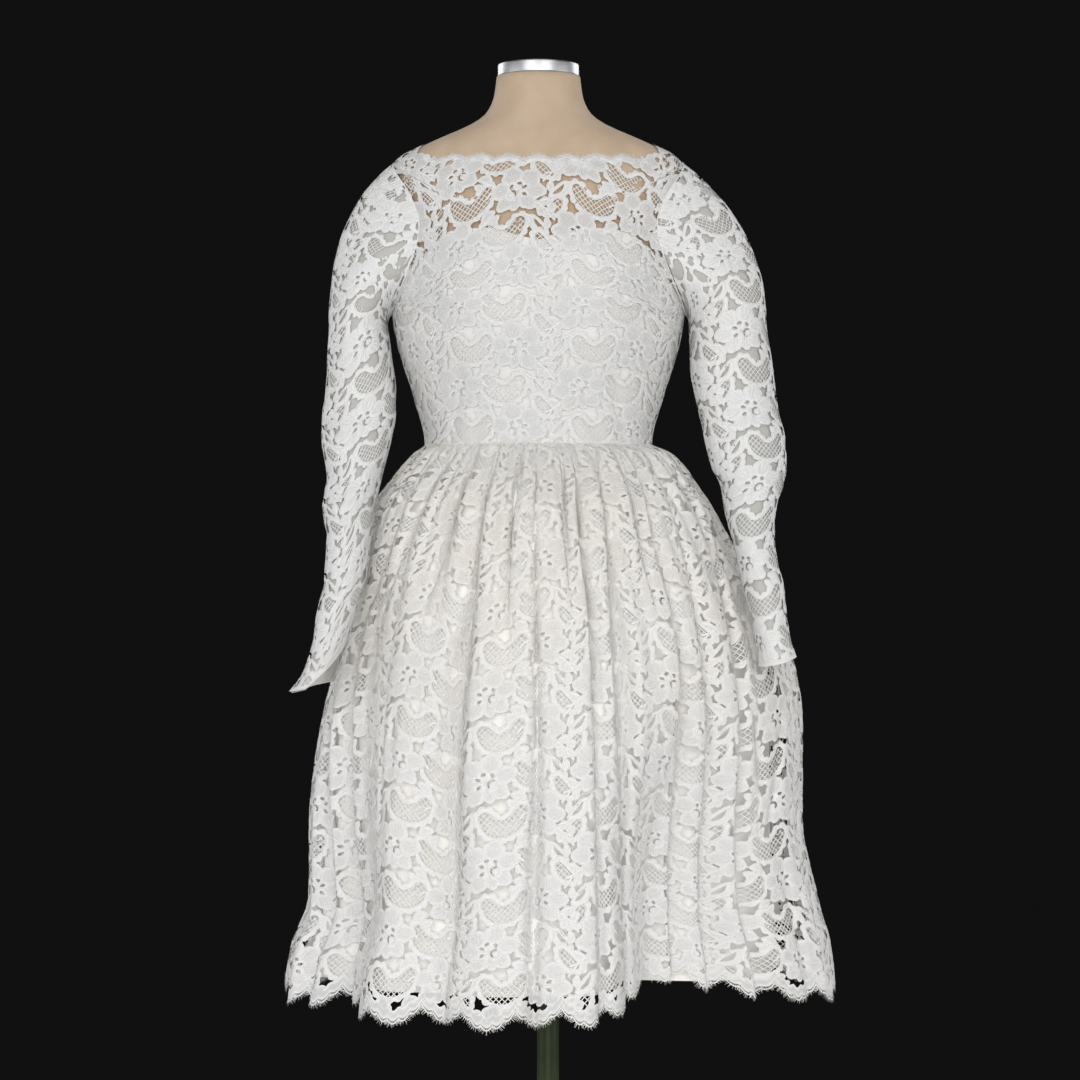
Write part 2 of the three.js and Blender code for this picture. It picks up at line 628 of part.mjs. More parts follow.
const SLEEVES = [
  { name: "left", table: SLEEVE_LEFT, sign: -1, halves: ["back", "front"] },
  { name: "right", table: SLEEVE_RIGHT, sign: 1, halves: ["front", "back"] },
];
for (const { name, table, sign, halves } of SLEEVES) {
  addPiece(dressedForm, `sleeve_lining_${name}`, clothWall({
    point: sleevePoint(table, sign),
    us: evenly(0, 1, 2 * SLEEVE_COLUMNS),
    vs: [...SLEEVE_ROWS, SLEEVE_LINING_TOP],
    lift: SLEEVE_LINING_INSET,
    thickness: LACE_THICKNESS,
    closed: true,
  }), satin);
  halves.forEach((half, k) => {
    addPiece(dressedForm, `sleeve_lace_${name}_${half}`, clothWall({
      point: sleevePoint(table, sign),
      us: evenly(k / 2 + SLEEVE_SEAM, (k + 1) / 2 - SLEEVE_SEAM, SLEEVE_COLUMNS),
      vs: [...SLEEVE_ROWS, SLEEVE_LACE_TOP],
      lift: 0,
      thickness: LACE_THICKNESS,
      gap: sleeveGap,
    }), lace);
  });
}

// Sum over the folds of the skirt of a share of each, at an angle from the centre front to +X.
function foldSum(degrees, share) {
  return FOLDS.reduce((sum, fold) => {
    const away = THREE.MathUtils.euclideanModulo(degrees - fold.angle + 180, 360) - 180;
    const near = 1 - Math.abs(away) / (2 * fold.spread);
    return sum + share(fold) * ease(near, 0, 1);
  }, 0);
}

// Point of a skirt layer with its folds.
function skirtPoint(sections, degrees, z) {
  const angle = radians(degrees);
  const wide = valueAt(sections, "z", Math.sin(angle) > 0 ? "right" : "left", z);
  const deep = valueAt(sections, "z", Math.cos(angle) > 0 ? "front" : "back", z);
  const point = new THREE.Vector3(wide * Math.sin(angle), -deep * Math.cos(angle), 0);
  const depthAt = (fold) => fold.depth * ease(fold.startZ - z, 0, fold.startZ - HEM_Z);
  point.setLength(point.length() - foldSum(degrees, depthAt));
  point.z = z;
  return point;
}

// Height of the scalloped hem.
function laceHem(degrees) {
  const turn = (degrees / 360) * HEM_SCALLOPS;
  const scallop = HEM_SCALLOP_DEPTH * Math.abs(Math.sin(turn * Math.PI));
  return HEM_Z - scallop + foldSum(degrees, (fold) => fold.lift);
}

// Point of the lace skirt, gathered below the waist: v counts the rows from the hem.
function laceSkirtPoint(u, v) {
  const hem = laceHem(u);
  const top = WAIST_Z - SEAM_GAP;
  const levels = [hem, ...SKIRT_ROW_Z, top];
  const row = Math.min(levels.length - 2, Math.max(0, Math.floor(v)));
  const z = mix(levels[row], levels[row + 1], v - row);
  const full = ease(top - z, 0, top - GATHER_FULL_Z) * ease(z, GATHER_FADE_Z, GATHER_FULL_Z);
  const gather = GATHER_HEIGHT * full * (1 + Math.cos((u / 360) * GATHERS * 2 * Math.PI));
  const point = skirtPoint(SKIRT_SECTIONS, u, z);
  const reach = Math.hypot(point.x, point.y);
  const stretch = (reach + gather) / reach;
  return new THREE.Vector3(point.x * stretch, point.y * stretch, z);
}

// Point of the skirt lining: v counts the rows from its hem.
function liningSkirtPoint(u, v) {
  const levels = [SKIRT_LINING_HEM_Z, ...SKIRT_LINING_ROW_Z, WAIST_Z - SEAM_GAP];
  const row = Math.min(levels.length - 2, Math.max(0, Math.floor(v)));
  return skirtPoint(SKIRT_LINING_SECTIONS, u, mix(levels[row], levels[row + 1], v - row));
}

const hemGap = gapIn(SKIRT_ROW_Z[0] - HEM_Z + HEM_SCALLOP_DEPTH, HEM_GAP, HEM_GAP_HEIGHT);
const skirtGap = (i, j) => {
  if (j === 0) {
    return i % HEM_GAP_EVERY === 2 ? hemGap : null;
  }
  const open = j < SKIRT_ROW_Z.length && (i + SKIRT_GAP_SHIFT * j) % SKIRT_GAP_EVERY === 3;
  return open ? gapIn(SKIRT_ROW_Z[j] - SKIRT_ROW_Z[j - 1], LEAF_GAP, GAP_HEIGHT) : null;
};
for (const [side, from] of [["front", -90], ["back", 90]]) {
  addPiece(dressedForm, `skirt_lining_${side}`, clothWall({
    point: liningSkirtPoint,
    us: evenly(from + SEAM_ANGLE, from + 180 - SEAM_ANGLE, SKIRT_LINING_COLUMNS),
    vs: evenly(0, SKIRT_LINING_ROW_Z.length + 1, SKIRT_LINING_ROW_Z.length + 1),
    lift: 0,
    thickness: LINING_THICKNESS,
    waist: SKIRT_LINING_ROW_Z.length + 1,
  }), satin);
  addPiece(dressedForm, `skirt_lace_${side}`, clothWall({
    point: laceSkirtPoint,
    us: evenly(from + SEAM_ANGLE, from + 180 - SEAM_ANGLE, SKIRT_COLUMNS),
    vs: evenly(0, SKIRT_ROW_Z.length + 1, SKIRT_ROW_Z.length + 1),
    lift: 0,
    thickness: LACE_THICKNESS,
    waist: SKIRT_ROW_Z.length + 1,
    gap: skirtGap,
  }), lace);
}

export default part;
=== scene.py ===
"""Lace wedding dress with long sleeves on a limbless dress form with a pole stand.

The sizes and tables of the shapes are in millimetres, as the dress is cut, and MM turns them into metres.
Materials, lights and the camera are in metres. The front faces -Y, +X is the viewer's right, and the origin
is on the floor, on the axis of the pole.
"""
import math
from collections import namedtuple

import bpy
import numpy as np
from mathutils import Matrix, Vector


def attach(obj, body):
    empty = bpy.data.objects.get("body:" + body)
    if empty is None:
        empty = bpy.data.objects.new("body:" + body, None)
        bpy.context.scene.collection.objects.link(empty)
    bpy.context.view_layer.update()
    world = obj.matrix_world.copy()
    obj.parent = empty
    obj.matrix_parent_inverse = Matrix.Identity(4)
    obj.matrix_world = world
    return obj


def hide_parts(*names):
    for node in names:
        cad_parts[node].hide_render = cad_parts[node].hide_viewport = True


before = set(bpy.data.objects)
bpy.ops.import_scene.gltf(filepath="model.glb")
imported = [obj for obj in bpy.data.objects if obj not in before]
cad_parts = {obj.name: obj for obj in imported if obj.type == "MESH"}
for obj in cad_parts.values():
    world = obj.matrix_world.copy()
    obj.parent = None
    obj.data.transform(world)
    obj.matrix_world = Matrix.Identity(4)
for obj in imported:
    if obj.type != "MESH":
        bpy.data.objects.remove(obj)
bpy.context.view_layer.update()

MM = 0.001
BODY = "root"
SEED = 7
rng = np.random.default_rng(SEED)


def table(columns, rows):
    """Columns of numbers by name, from rows."""
    return {name: np.array(values, float) for name, values in zip(columns.split(), zip(*rows))}


# Sizes of the stand and the form
BASE_RADIUS = 210
BASE_RIM_HEIGHT = 9
BASE_HUB_RADIUS = 24
BASE_HUB_HEIGHT = 58
BASE_ROUNDING = 2.5
POLE_RADIUS = 12.5
POLE_ROUNDING = 0.6
FORM_OFFSET = np.array([-11.0, 0, 0])
FORM_EASE = 1.2
EASE_TOP_Z = 1450
EASE_FULL_Z = 1410
FORM_BOTTOM_Z = 750
NECK_TOP_Z = 1487
CAP_RADIUS = 46.5
CAP_HEIGHT = 14
CAP_RIM = 4
CAP_LIP = 6
CAP_DISH = 1.5
CAP_ROUNDING = 2.2
CHAMFER = 1
AXIS_GAP = 0.5
CUP_ANGLE = 30
CUP_SPREAD = 24
SEAM_GAP = 0.3

# Sizes of the bodice
LINING_LIFT = 3.2
LACE_LIFT = 5.2
PLACKET_LIFT = 7.2
PLACKET_WIDTH = 16
WAIST_Z = 1064
BUST_Z = 1225
NECK_HUG = 5
NECK_HUG_ROW = 0.88
YOKE_HUG = 2.6
YOKE_ROWS = (0.74, 0.86)
YOKE_OUT = (0.7, 0.97)
NECK_SCALLOP_HEIGHT = 8
NECK_SCALLOP_END = 0.85
NECK_SCALLOP_ROW = 0.95
SIDE_TURN = {"front": 0, "back": 180}

# Sizes of the sleeves, by side: -1 is the viewer's left, 1 the right.
CAP_ROW = 0.7
CAP_Z = 1200
CAP_BULGE = 1.1
ARMHOLE_GAP = 0.6
SLEEVE_LINING_INSET = -2.2
SLEEVE_LINING_TOP = 0.998
CUFF_POINT = {-1: 11, 1: -16}
CUFF_CUT = {-1: 46, 1: 6}
CUFF_CUT_FRONT = 0.29
CUFF_CUT_BACK = 0.05
SHOULDER_OUT = 0.8
SHOULDER_DOWN = 0.6

# Sizes of the skirt
GATHER_FULL_Z = 1054
SKIRT_FULLNESS = 1.12
HEM_Z = 446
HEM_DROP = 14
SKIRT_LINING_HEM_Z = 467
SKIRT_TOP_Z = WAIST_Z - SEAM_GAP

# Levels of the figure: half width, depth to the front and to the back, rise of the bust cups.
FIGURE = table("z half_width front back cup", [
    (750, 140, 84, 88, 0), (758, 152, 93, 98, 0), (790, 163, 101, 108, 0), (880, 170, 107, 114, 0),
    (950, 159, 103, 106, 0), (1010, 138, 96, 93, 0), (1064, 125, 89, 82, 0), (1126, 140, 95, 87, 3),
    (1185, 158, 107, 92, 10), (1225, 163, 112, 95, 12), (1260, 162, 110, 95, 9), (1300, 159, 103, 94, 4),
    (1340, 164, 92, 90, 0), (1370, 167, 82, 86, 0), (1388, 160, 75, 82, 0), (1402, 144, 70, 79, 0),
    (1414, 120, 66, 75, 0), (1426, 91, 62, 69, 0), (1436, 71, 58, 63, 0), (1448, 58, 54, 56, 0),
    (1465, 51, 51, 51, 0), (1487, 48, 48, 48, 0),
])

# Armhole from the underarm to the shoulder tip, in degrees from the centre line.
ARMHOLE = table("up front back z", [
    (0.5, 90, 90, 1215), (0.53, 84, 85, 1217), (0.56, 78, 80, 1224), (0.62, 66, 71, 1249),
    (0.68, 58, 65, 1282), (0.75, 55, 64, 1317), (0.82, 61, 68, 1351), (0.86, 73, 77, 1374),
    (0.9, 90, 90, 1386),
])

# Neckline from the centre line out to its end on the shoulder.
NECKLINE = table("out angle front back", [
    (0, 0, 1381, 1384), (0.25, 17, 1382, 1385), (0.5, 35, 1384, 1387), (0.7, 47, 1389, 1391),
    (0.85, 58, 1400, 1401), (0.95, 75, 1410, 1410), (1, 90, 1414, 1414),
])

# Top edge of the bodice lining by degrees from the centre line.
LINING_TOP = table("angle front back", [
    (0, 1289, 1288), (8, 1294, 1288), (20, 1303, 1289), (37, 1301, 1287), (52, 1276, 1270),
    (68, 1240, 1240), (90, 1214, 1214),
])

# Sleeves level by level: reach of the inner and outer edge, depth of the axis, half depth.
SLEEVE_COLUMNS = "z inner outer y half_depth"
SLEEVE_RIGHT = table(SLEEVE_COLUMNS, [
    (826, 244, 285, -138, 30), (842, 241, 280, -135, 29), (865, 237, 276, -131, 29),
    (906, 227, 272, -120, 31), (930, 223, 267, -110, 32), (968, 214, 264, -92, 35),
    (990, 209, 267, -81, 38), (1015, 206, 276, -68, 42), (1039, 196, 282, -56, 46),
    (1070, 189, 280, -42, 47), (1107, 182, 273, -26, 49), (1153, 174, 268, -14, 51),
    (1200, 173, 262, -7, 52),
])
SLEEVE_LEFT = table(SLEEVE_COLUMNS, [
    (788, 228, 274, -144, 30), (801, 225, 264, -142, 29), (818, 219, 256, -139, 29),
    (841, 212, 249, -135, 29), (880, 200, 244, -126, 31), (909, 191, 238, -117, 32),
    (954, 187, 236, -99, 34), (993, 183, 243, -79, 38), (1030, 176, 239, -61, 42),
    (1070, 167, 246, -44, 46), (1098, 163, 246, -31, 48), (1122, 163, 243, -22, 50),
    (1169, 169, 242, -11, 51), (1200, 173, 240, -7, 52),
])

# Skirt layers level by level, without their folds.
SKIRT_COLUMNS = "z left right front back"
SKIRT_LACE = table(SKIRT_COLUMNS, [
    (432, 294, 347, 276, 280), (484, 285, 341, 268, 272), (544, 263, 324, 258, 262),
    (636, 261, 304, 250, 254), (748, 247, 301, 240, 244), (822, 229, 289, 226, 232),
    (880, 216, 262, 211, 218), (945, 202, 222, 188, 198), (996, 182, 192, 162, 172),
    (1022, 162, 173, 141, 150), (1042, 148, 161, 119, 124), (1057, 136, 144, 103, 99),
    (1064, 130.2, 130.2, 94.2, 87.2),
])
SKIRT_LINING = table(SKIRT_COLUMNS, [
    (468, 272, 282, 265, 266), (544, 256, 276, 254, 257), (636, 254, 272, 246, 249),
    (748, 240, 268, 236, 239), (880, 211, 244, 207, 213), (945, 197, 212, 184, 193),
    (996, 177, 186, 158, 167), (1022, 157, 167, 137, 145), (1042, 144, 155, 115, 119),
    (1057, 132, 138, 99, 95), (1064, 127.4, 127.4, 91.4, 84.4),
])

# Folds of the skirt: place in degrees, half width, depth at the hem, lift of the hem, start height.
FOLDS = table("angle spread depth lift start_z", [
    (-84, 8, 16, 6, 1040), (-55, 9, 44, 8, 1000), (-25, 7, 20, 3, 1040), (-10, 6, 10, 0, 1040),
    (4, 7, 14, 4, 1040), (36, 15, 112, 35, 900), (62, 7, 16, 9, 1040), (81, 7, 14, 9, 1040),
    (101, 8, 19, 5, 1040), (122, 9, 28, 2, 1040), (143, 8, 22, 0, 1040), (163, 8, 28, 2, 1040),
    (184, 8, 19, 0, 1040), (205, 9, 27, 2, 1040), (226, 8, 21, 0, 1040), (248, 8, 25, 2, 1040),
])


# Shapes of the figure and of the cloth

NORMAL_STEP = 0.02
TINY = 1e-9


def mix(a, b, share):
    return a + (b - a) * share


def smoothstep(value, low, high):
    share = np.clip((value - low) / (high - low), 0, 1)
    return share * share * (3 - 2 * share)


def hermite(start, start_slope, end, end_slope, share):
    square = share * share
    cube = square * share
    return ((2 * cube - 3 * square + 1) * start + (cube - 2 * square + share) * start_slope
            + (3 * square - 2 * cube) * end + (cube - square) * end_slope)


def smooth(rows, along, column, place):
    """Smooth value of a column at a place along another column, with no overshoot."""
    x, y = rows[along], rows[column]
    secant = np.diff(y) / np.diff(x)
    product = secant[:-1] * secant[1:]
    total = np.where(product > 0, secant[:-1] + secant[1:], 1)
    inner = np.where(product > 0, 2 * product / total, 0)
    slope = np.concatenate([secant[:1], inner, secant[-1:]])
    at = np.clip(place, x[0], x[-1])
    k = np.clip(np.searchsorted(x, at) - 1, 0, len(x) - 2)
    span = x[k + 1] - x[k]
    return hermite(y[k], span * slope[k], y[k + 1], span * slope[k + 1], (at - x[k]) / span)


def full_turn(count):
    """Angles in even steps once round a circle."""
    return np.linspace(0, 2 * np.pi, count + 1)[:-1]


def xyz(x, y, z):
    return np.stack(np.broadcast_arrays(x, y, z), axis=-1)


def unit(vectors):
    return vectors / np.maximum(np.linalg.norm(vectors, axis=-1, keepdims=True), TINY)


def figure_point(degrees, z):
    """Point of the figure at an angle from the centre front and a height."""
    angle = np.radians(degrees)
    to_front = np.cos(angle)
    deep = np.where(to_front > 0, smooth(FIGURE, "z", "front", z), smooth(FIGURE, "z", "back", z))
    off = (np.abs(degrees) - CUP_ANGLE) / CUP_SPREAD
    cup = np.where(to_front > 0, smooth(FIGURE, "z", "cup", z) * np.exp(-off * off) * to_front, 0)
    return xyz(smooth(FIGURE, "z", "half_width", z) * np.sin(angle), -deep * to_front - cup, z)


def figure_normal(degrees, z):
    along = figure_point(degrees + NORMAL_STEP, z) - figure_point(degrees - NORMAL_STEP, z)
    up = figure_point(degrees, z + NORMAL_STEP) - figure_point(degrees, z - NORMAL_STEP)
    return unit(np.cross(along, up))


def on_figure(degrees, z, lift):
    return figure_point(degrees, z) + np.asarray(lift)[..., None] * figure_normal(degrees, z)


def bodice_place(side, out, up):
    """Degrees from the centre line and height of a place on a bodice panel."""
    neck_centre, neck_end = NECKLINE[side][0], NECKLINE[side][-1]
    underarm, tip = ARMHOLE["up"][0], ARMHOLE["up"][-1]
    edge = smooth(ARMHOLE, "up", "z", up)
    edge = np.where(up < underarm, mix(WAIST_Z, ARMHOLE["z"][0], up / underarm), edge)
    edge = np.where(up > tip, mix(ARMHOLE["z"][-1], neck_end, (up - tip) / (1 - tip)), edge)
    neck_share = smooth(NECKLINE, "out", "angle", out) / 90
    degrees = smooth(ARMHOLE, "up", side, up) * mix(out, neck_share, up ** 3)
    level = mix(mix(WAIST_Z, neck_centre, up), edge, out)
    return degrees, level + up * (smooth(NECKLINE, "out", side, out) - mix(neck_centre, neck_end, out))


def scallop_room(out):
    """Room for the neck scallops, which fade before the shoulder."""
    return NECK_SCALLOP_HEIGHT * (1 - smoothstep(out, NECK_SCALLOP_END / 2, NECK_SCALLOP_END))


def bodice_point(side, u, v, lift):
    out = np.abs(u)
    degrees, z = bodice_place(side, out, v)
    z = z + scallop_room(out) * smoothstep(v, NECK_SCALLOP_ROW, 1)
    hug = YOKE_HUG * smoothstep(v, *YOKE_ROWS) * (1 - smoothstep(out, *YOKE_OUT))
    hug = np.maximum(hug, NECK_HUG * smoothstep(v, NECK_HUG_ROW, 1))
    return on_figure(SIDE_TURN[side] + np.sign(u) * degrees, z, lift - hug)


def lining_point(side, degrees, v, lift):
    top = smooth(LINING_TOP, "angle", side, np.abs(degrees))
    return on_figure(SIDE_TURN[side] + degrees, mix(WAIST_Z, top, v), lift)


def sleeve_ring(rows, sign, around, z):
    inner, outer = smooth(rows, "z", "inner", z), smooth(rows, "z", "outer", z)
    turn = 2 * np.pi * around
    x = sign * ((inner + outer) / 2 - (outer - inner) / 2 * np.cos(turn))
    return xyz(x, smooth(rows, "z", "y", z) - smooth(rows, "z", "half_depth", z) * np.sin(turn), z)


def armhole_point(sign, around):
    """Point of the armhole, from the underarm over the front, the shoulder and the back."""
    up = mix(ARMHOLE["up"][0], ARMHOLE["up"][-1], 2 * np.minimum(around, 1 - around))
    front = around < 0.5
    degrees = np.where(front, smooth(ARMHOLE, "up", "front", up), smooth(ARMHOLE, "up", "back", up))
    place = np.where(front, sign * degrees, sign * (180 - degrees))
    return on_figure(place, smooth(ARMHOLE, "up", "z", up), LACE_LIFT)


def sleeve_point(rows, sign, u, v):
    around = np.mod(u if sign > 0 else 1 - u, 1)
    cuff = rows["z"][0] + CUFF_POINT[sign] * (0.5 + 0.5 * np.cos(2 * np.pi * around))
    cut = np.maximum(1 - around / CUFF_CUT_FRONT, 1 - (1 - around) / CUFF_CUT_BACK)
    cuff = cuff + CUFF_CUT[sign] * np.maximum(cut, 0)
    straight = sleeve_ring(rows, sign, around, mix(cuff, CAP_Z, np.minimum(v / CAP_ROW, 1)))
    outward = np.array([sign * SHOULDER_OUT, 0, -SHOULDER_DOWN])
    start = armhole_point(sign, around) + outward * ARMHOLE_GAP
    end = sleeve_ring(rows, sign, around, np.full_like(around, CAP_Z))
    reach = CAP_BULGE * np.linalg.norm(start - end, axis=-1, keepdims=True)
    share = np.clip((1 - v) / (1 - CAP_ROW), 0, 1)[..., None]
    cap = hermite(start, outward * reach, end, np.array([0, 0, -1.0]) * reach, share)
    return np.where((v <= CAP_ROW)[..., None], straight, cap)


def fold_sum(degrees, amounts):
    """Sum over the folds of the skirt of an amount of each."""
    total = np.zeros_like(degrees)
    for angle, spread, amount in zip(FOLDS["angle"], FOLDS["spread"], amounts):
        away = np.mod(degrees - angle + 180, 360) - 180
        total = total + amount * smoothstep(1 - np.abs(away) / (2 * spread), 0, 1)
    return total


def skirt_point(rows, degrees, z):
    angle = np.radians(degrees)
    wide = np.where(np.sin(angle) > 0, smooth(rows, "z", "right", z), smooth(rows, "z", "left", z))
    deep = np.where(np.cos(angle) > 0, smooth(rows, "z", "front", z), smooth(rows, "z", "back", z))
    x, y = wide * np.sin(angle), -deep * np.cos(angle)
    depths = [depth * smoothstep(start - z, 0, start - HEM_Z)
              for depth, start in zip(FOLDS["depth"], FOLDS["start_z"])]
    reach = np.hypot(x, y)
    share = (reach - fold_sum(degrees, depths)) / reach
    return xyz(x * share, y * share, z)


# Gathers and long folds of the lace skirt: count round the skirt, phase, height, height where they are
# strongest, and how far they fade upwards and downwards.
RIPPLES = table("count phase height full_z fade_up fade_down", [
    (66, 0.4, 4.5, 1050, 30, 100), (45, 1.3, 4.5, 1012, 60, 200), (31, 2.1, 3.0, 920, 150, 340),
    (23, 0.6, 3.5, 750, 260, 340), (17, 2.9, 5.5, 520, 340, 300), (38, 4.0, 1.4, 640, 260, 260),
])
# Wander of the gathers round the skirt: reach, waves in a turn, share of the phase.
RIPPLE_WANDER = [(0.9, 3, 1), (0.7, 7, -2)]
RIPPLE_HOLD = 0.2
RIPPLE_DRIFT = 0.8
DRIFT_HEIGHT = 130
UNEVENNESS = 0.4
UNEVEN_WAVES = 5
UNEVEN_PHASE = 3
VALLEY_ROUNDING = 0.02


def gather_rise(degrees, z):
    """Rise of the gathers and folds over the plain skirt: round crests and narrow valleys."""
    angle = np.radians(degrees)
    rise = np.zeros_like(z)
    for count, phase, height, full_z, fade_up, fade_down in zip(*RIPPLES.values()):
        above = 1 - smoothstep(z - full_z, 0, fade_up)
        below = 1 - smoothstep(full_z - z, RIPPLE_HOLD * fade_down, fade_down)
        wander = sum(reach * np.sin(waves * angle + share * phase) for reach, waves, share in RIPPLE_WANDER)
        drift = RIPPLE_DRIFT * np.sin((z - full_z) / DRIFT_HEIGHT + UNEVEN_WAVES * angle)
        place = count * angle + phase + wander + drift
        uneven = 1 + UNEVENNESS * np.sin(UNEVEN_WAVES * angle + UNEVEN_PHASE * phase)
        rise = rise + height * above * below * uneven * np.sqrt(np.cos(place / 2) ** 2 + VALLEY_ROUNDING)
    return rise * smoothstep(SKIRT_TOP_Z - z, 0, SKIRT_TOP_Z - GATHER_FULL_Z)


def moved_out(points, rise):
    """Points moved away from the vertical axis."""
    share = 1 + rise / np.hypot(points[..., 0], points[..., 1])
    return xyz(points[..., 0] * share, points[..., 1] * share, points[..., 2])


# Panels of cloth

CREASE_ENDS = (0.25, 0.5)
LOCATE_ROUNDS = 14
LOCATE_NEAR = 0.4


class Panel:
    """Cloth panel as a grid of points, each with its place on the flat cloth.

    across and up are the flat places. edge, where it is set, is the distance to a shaped edge of the panel.
    """

    def __init__(self, points, across, up):
        self.across, self.up, self.edge = across, up, None
        self.across_step = np.gradient(across, axis=1)
        self.up_step = np.gradient(up, axis=0)
        self.shape_from(points)

    def shape_from(self, points):
        self.points = points
        self.along = np.gradient(points, axis=1) / self.across_step[..., None]
        self.rise = np.gradient(points, axis=0) / self.up_step[..., None]
        self.normals = unit(np.cross(self.along, self.rise))

    def crease(self, rows):
        """Press soft creases into the cloth: flat place, direction, length, width, depth."""
        shift = np.zeros_like(self.across)
        for s, t, degrees, length, width, depth in rows:
            c, q = math.cos(math.radians(degrees)), math.sin(math.radians(degrees))
            along = (self.across - s) * c + (self.up - t) * q
            beside = (self.up - t) * c - (self.across - s) * q
            ends = 1 - smoothstep(np.abs(along), *(share * length for share in CREASE_ENDS))
            shift = shift - depth * ends * np.exp(-(beside / width) ** 2)
        self.shape_from(self.points + shift[..., None] * self.normals)

    def sample(self, values, column, row):
        rows, columns = values.shape[:2]
        i = np.clip(column.astype(int), 0, columns - 2)
        j = np.clip(row.astype(int), 0, rows - 2)
        x, y = column - i, row - j
        if values.ndim == 3:
            x, y = x[:, None], y[:, None]
        low = mix(values[j, i], values[j, i + 1], x)
        high = mix(values[j + 1, i], values[j + 1, i + 1], x)
        return mix(low, high, y)

    def locate(self, s, t):
        """Column and row of flat places, and which of the places are on the panel."""
        rows, columns = self.across.shape
        column = np.full(len(s), (columns - 1) / 2)
        row = np.full(len(s), (rows - 1) / 2)
        for _ in range(LOCATE_ROUNDS):
            off_s = s - self.sample(self.across, column, row)
            off_t = t - self.sample(self.up, column, row)
            column = column + off_s / self.sample(self.across_step, column, row)
            row = row + off_t / self.sample(self.up_step, column, row)
            column = np.clip(column, 0, columns - 1)
            row = np.clip(row, 0, rows - 1)
        off_s = s - self.sample(self.across, column, row)
        off_t = t - self.sample(self.up, column, row)
        return column, row, np.hypot(off_s, off_t) < LOCATE_NEAR

    def frame_at(self, column, row):
        """Point, directions of one millimetre across and up the cloth, and normal."""
        return [self.sample(v, column, row) for v in (self.points, self.along, self.rise, self.normals)]


def row_lengths(points, centre_column):
    """Length along each row, counted from a column."""
    steps = np.linalg.norm(np.diff(points, axis=1), axis=-1)
    total = np.concatenate([np.zeros((len(points), 1)), np.cumsum(steps, axis=1)], axis=1)
    return total - total[:, centre_column:centre_column + 1]


def column_lengths(points):
    steps = np.linalg.norm(np.diff(points, axis=0), axis=-1)
    return np.concatenate([np.zeros((1, points.shape[1])), np.cumsum(steps, axis=0)], axis=0)


def grid(low_u, high_u, columns, low_v, high_v, rows):
    return np.meshgrid(np.linspace(low_u, high_u, columns), np.linspace(low_v, high_v, rows))


# Lace repeat

REPEAT = np.array([140.0, 92.0])
NET_BORDER = 3.2
BORDER_PITCH = 9.5
BORDER_BUMP = 3.0
BORDER_STEP = 1.2
NET_LINES = (22, 14)
NET_OVERLAP = 0.6
CORD_STEP = 2.8
CORD_WIDTHS = {"cloth": 1.1, "net": 1.1, "gap": 0.8, "vein": 0.9}
CORD_OVERLAP = 0.4
STEM_WIDTH = 2.2
VEIN_STEP = 4.5
THREAD_WIDTH = 1.05
THREAD_STEP = 2.3
FAR = 8.0
STAMP_MARGIN = 5

# Points that draw an outline or a line before it gets even steps.
PETAL_POINTS = 48
LEAF_POINTS = 32
OVAL_POINTS = 24
SPLINE_POINTS = 24
END_POINTS = 5
VEIN_POINTS = 9

# Petals: direction, length, width.
FLOWER = [
    (167, 22, 14), (130, 27, 17), (-144, 28, 17), (78, 31, 18), (-98, 30, 19), (-49, 29, 22), (18, 29, 22),
]
SMALL = [(degrees, 12, 10) for degrees in range(0, 360, 72)]
SMALL_AT = np.array([39.0, 22.5])
SMALL_HOLE = 5
PETAL_LOBES = 5
PETAL_DENT = 0.2
PETAL_LOBE_START = (0.3, 0.6)
PETAL_FULL = 0.56
PETAL_MIDDLE = 0.55
# Powers that shape the foot of a petal and the ends of a leaf.
PETAL_FOOT = 0.35
LEAF_ENDS = 0.4
# Holes about the flower's centre: direction, reach, length, width. The first one holds a knot.
FLOWER_HOLES = [
    (120, 7.2, 11, 11), (-16, 8.2, 4.4, 6.8), (-72, 8.0, 6.8, 4.4), (-128, 9.4, 6.6, 4.4),
    (48, 9.2, 4.2, 6.2),
]
KNOT = 6.4
KNOT_OUT = 1
# Veins of a petal: how far each leans to the side, as a share of the width.
VEINS = (-0.24, 0.0, 0.24)
VEIN_ENDS = (0.42, 0.9)
VEIN_LEAN = (0.2, 0.8)
# Panels of net: spines of x, y, width.
NET_PANELS = [
    [(-35, -37, 14), (-29, -47, 19), (-17, -53, 19), (-5, -49, 19), (2, -39, 15)],
    [(33, -27, 8), (41, -22, 13), (47, -13, 9)],
]
# Leaves: x, y of the foot, direction, length, width, bend. The long ones have a slit.
LEAVES = [
    (13, -32, -138, 33, 14, 3), (-25, -17, 122, 19, 10, 2), (24, -27, -118, 17, 9, -2),
    (38, 10, -176, 15, 8, 2), (47, 27, -62, 13, 8, 1), (-36, 16, 62, 15, 8, -2), (-6, 28, 20, 13, 8, 1),
]
LONG_LEAF = 20
# Slit of a long leaf, as shares of the leaf's length, width and bend, and its start along the leaf.
SLIT_LENGTH = 0.6
SLIT_WIDTH = 0.34
SLIT_BEND = 0.5
SLIT_START = 0.22
STEMS = [
    [(28, 8), (34, 14), (39, 22)], [(-29, 6), (-33, 4), (-36, 0)], [(22, -18), (30, -24), (40, -28)],
    [(8, -30), (14, -34), (20, -36)], [(34, -58), (40, -60), (46, -62)],
]


def turned(outline, degrees):
    c, s = math.cos(math.radians(degrees)), math.sin(math.radians(degrees))
    return outline @ np.array([[c, s], [-s, c]])


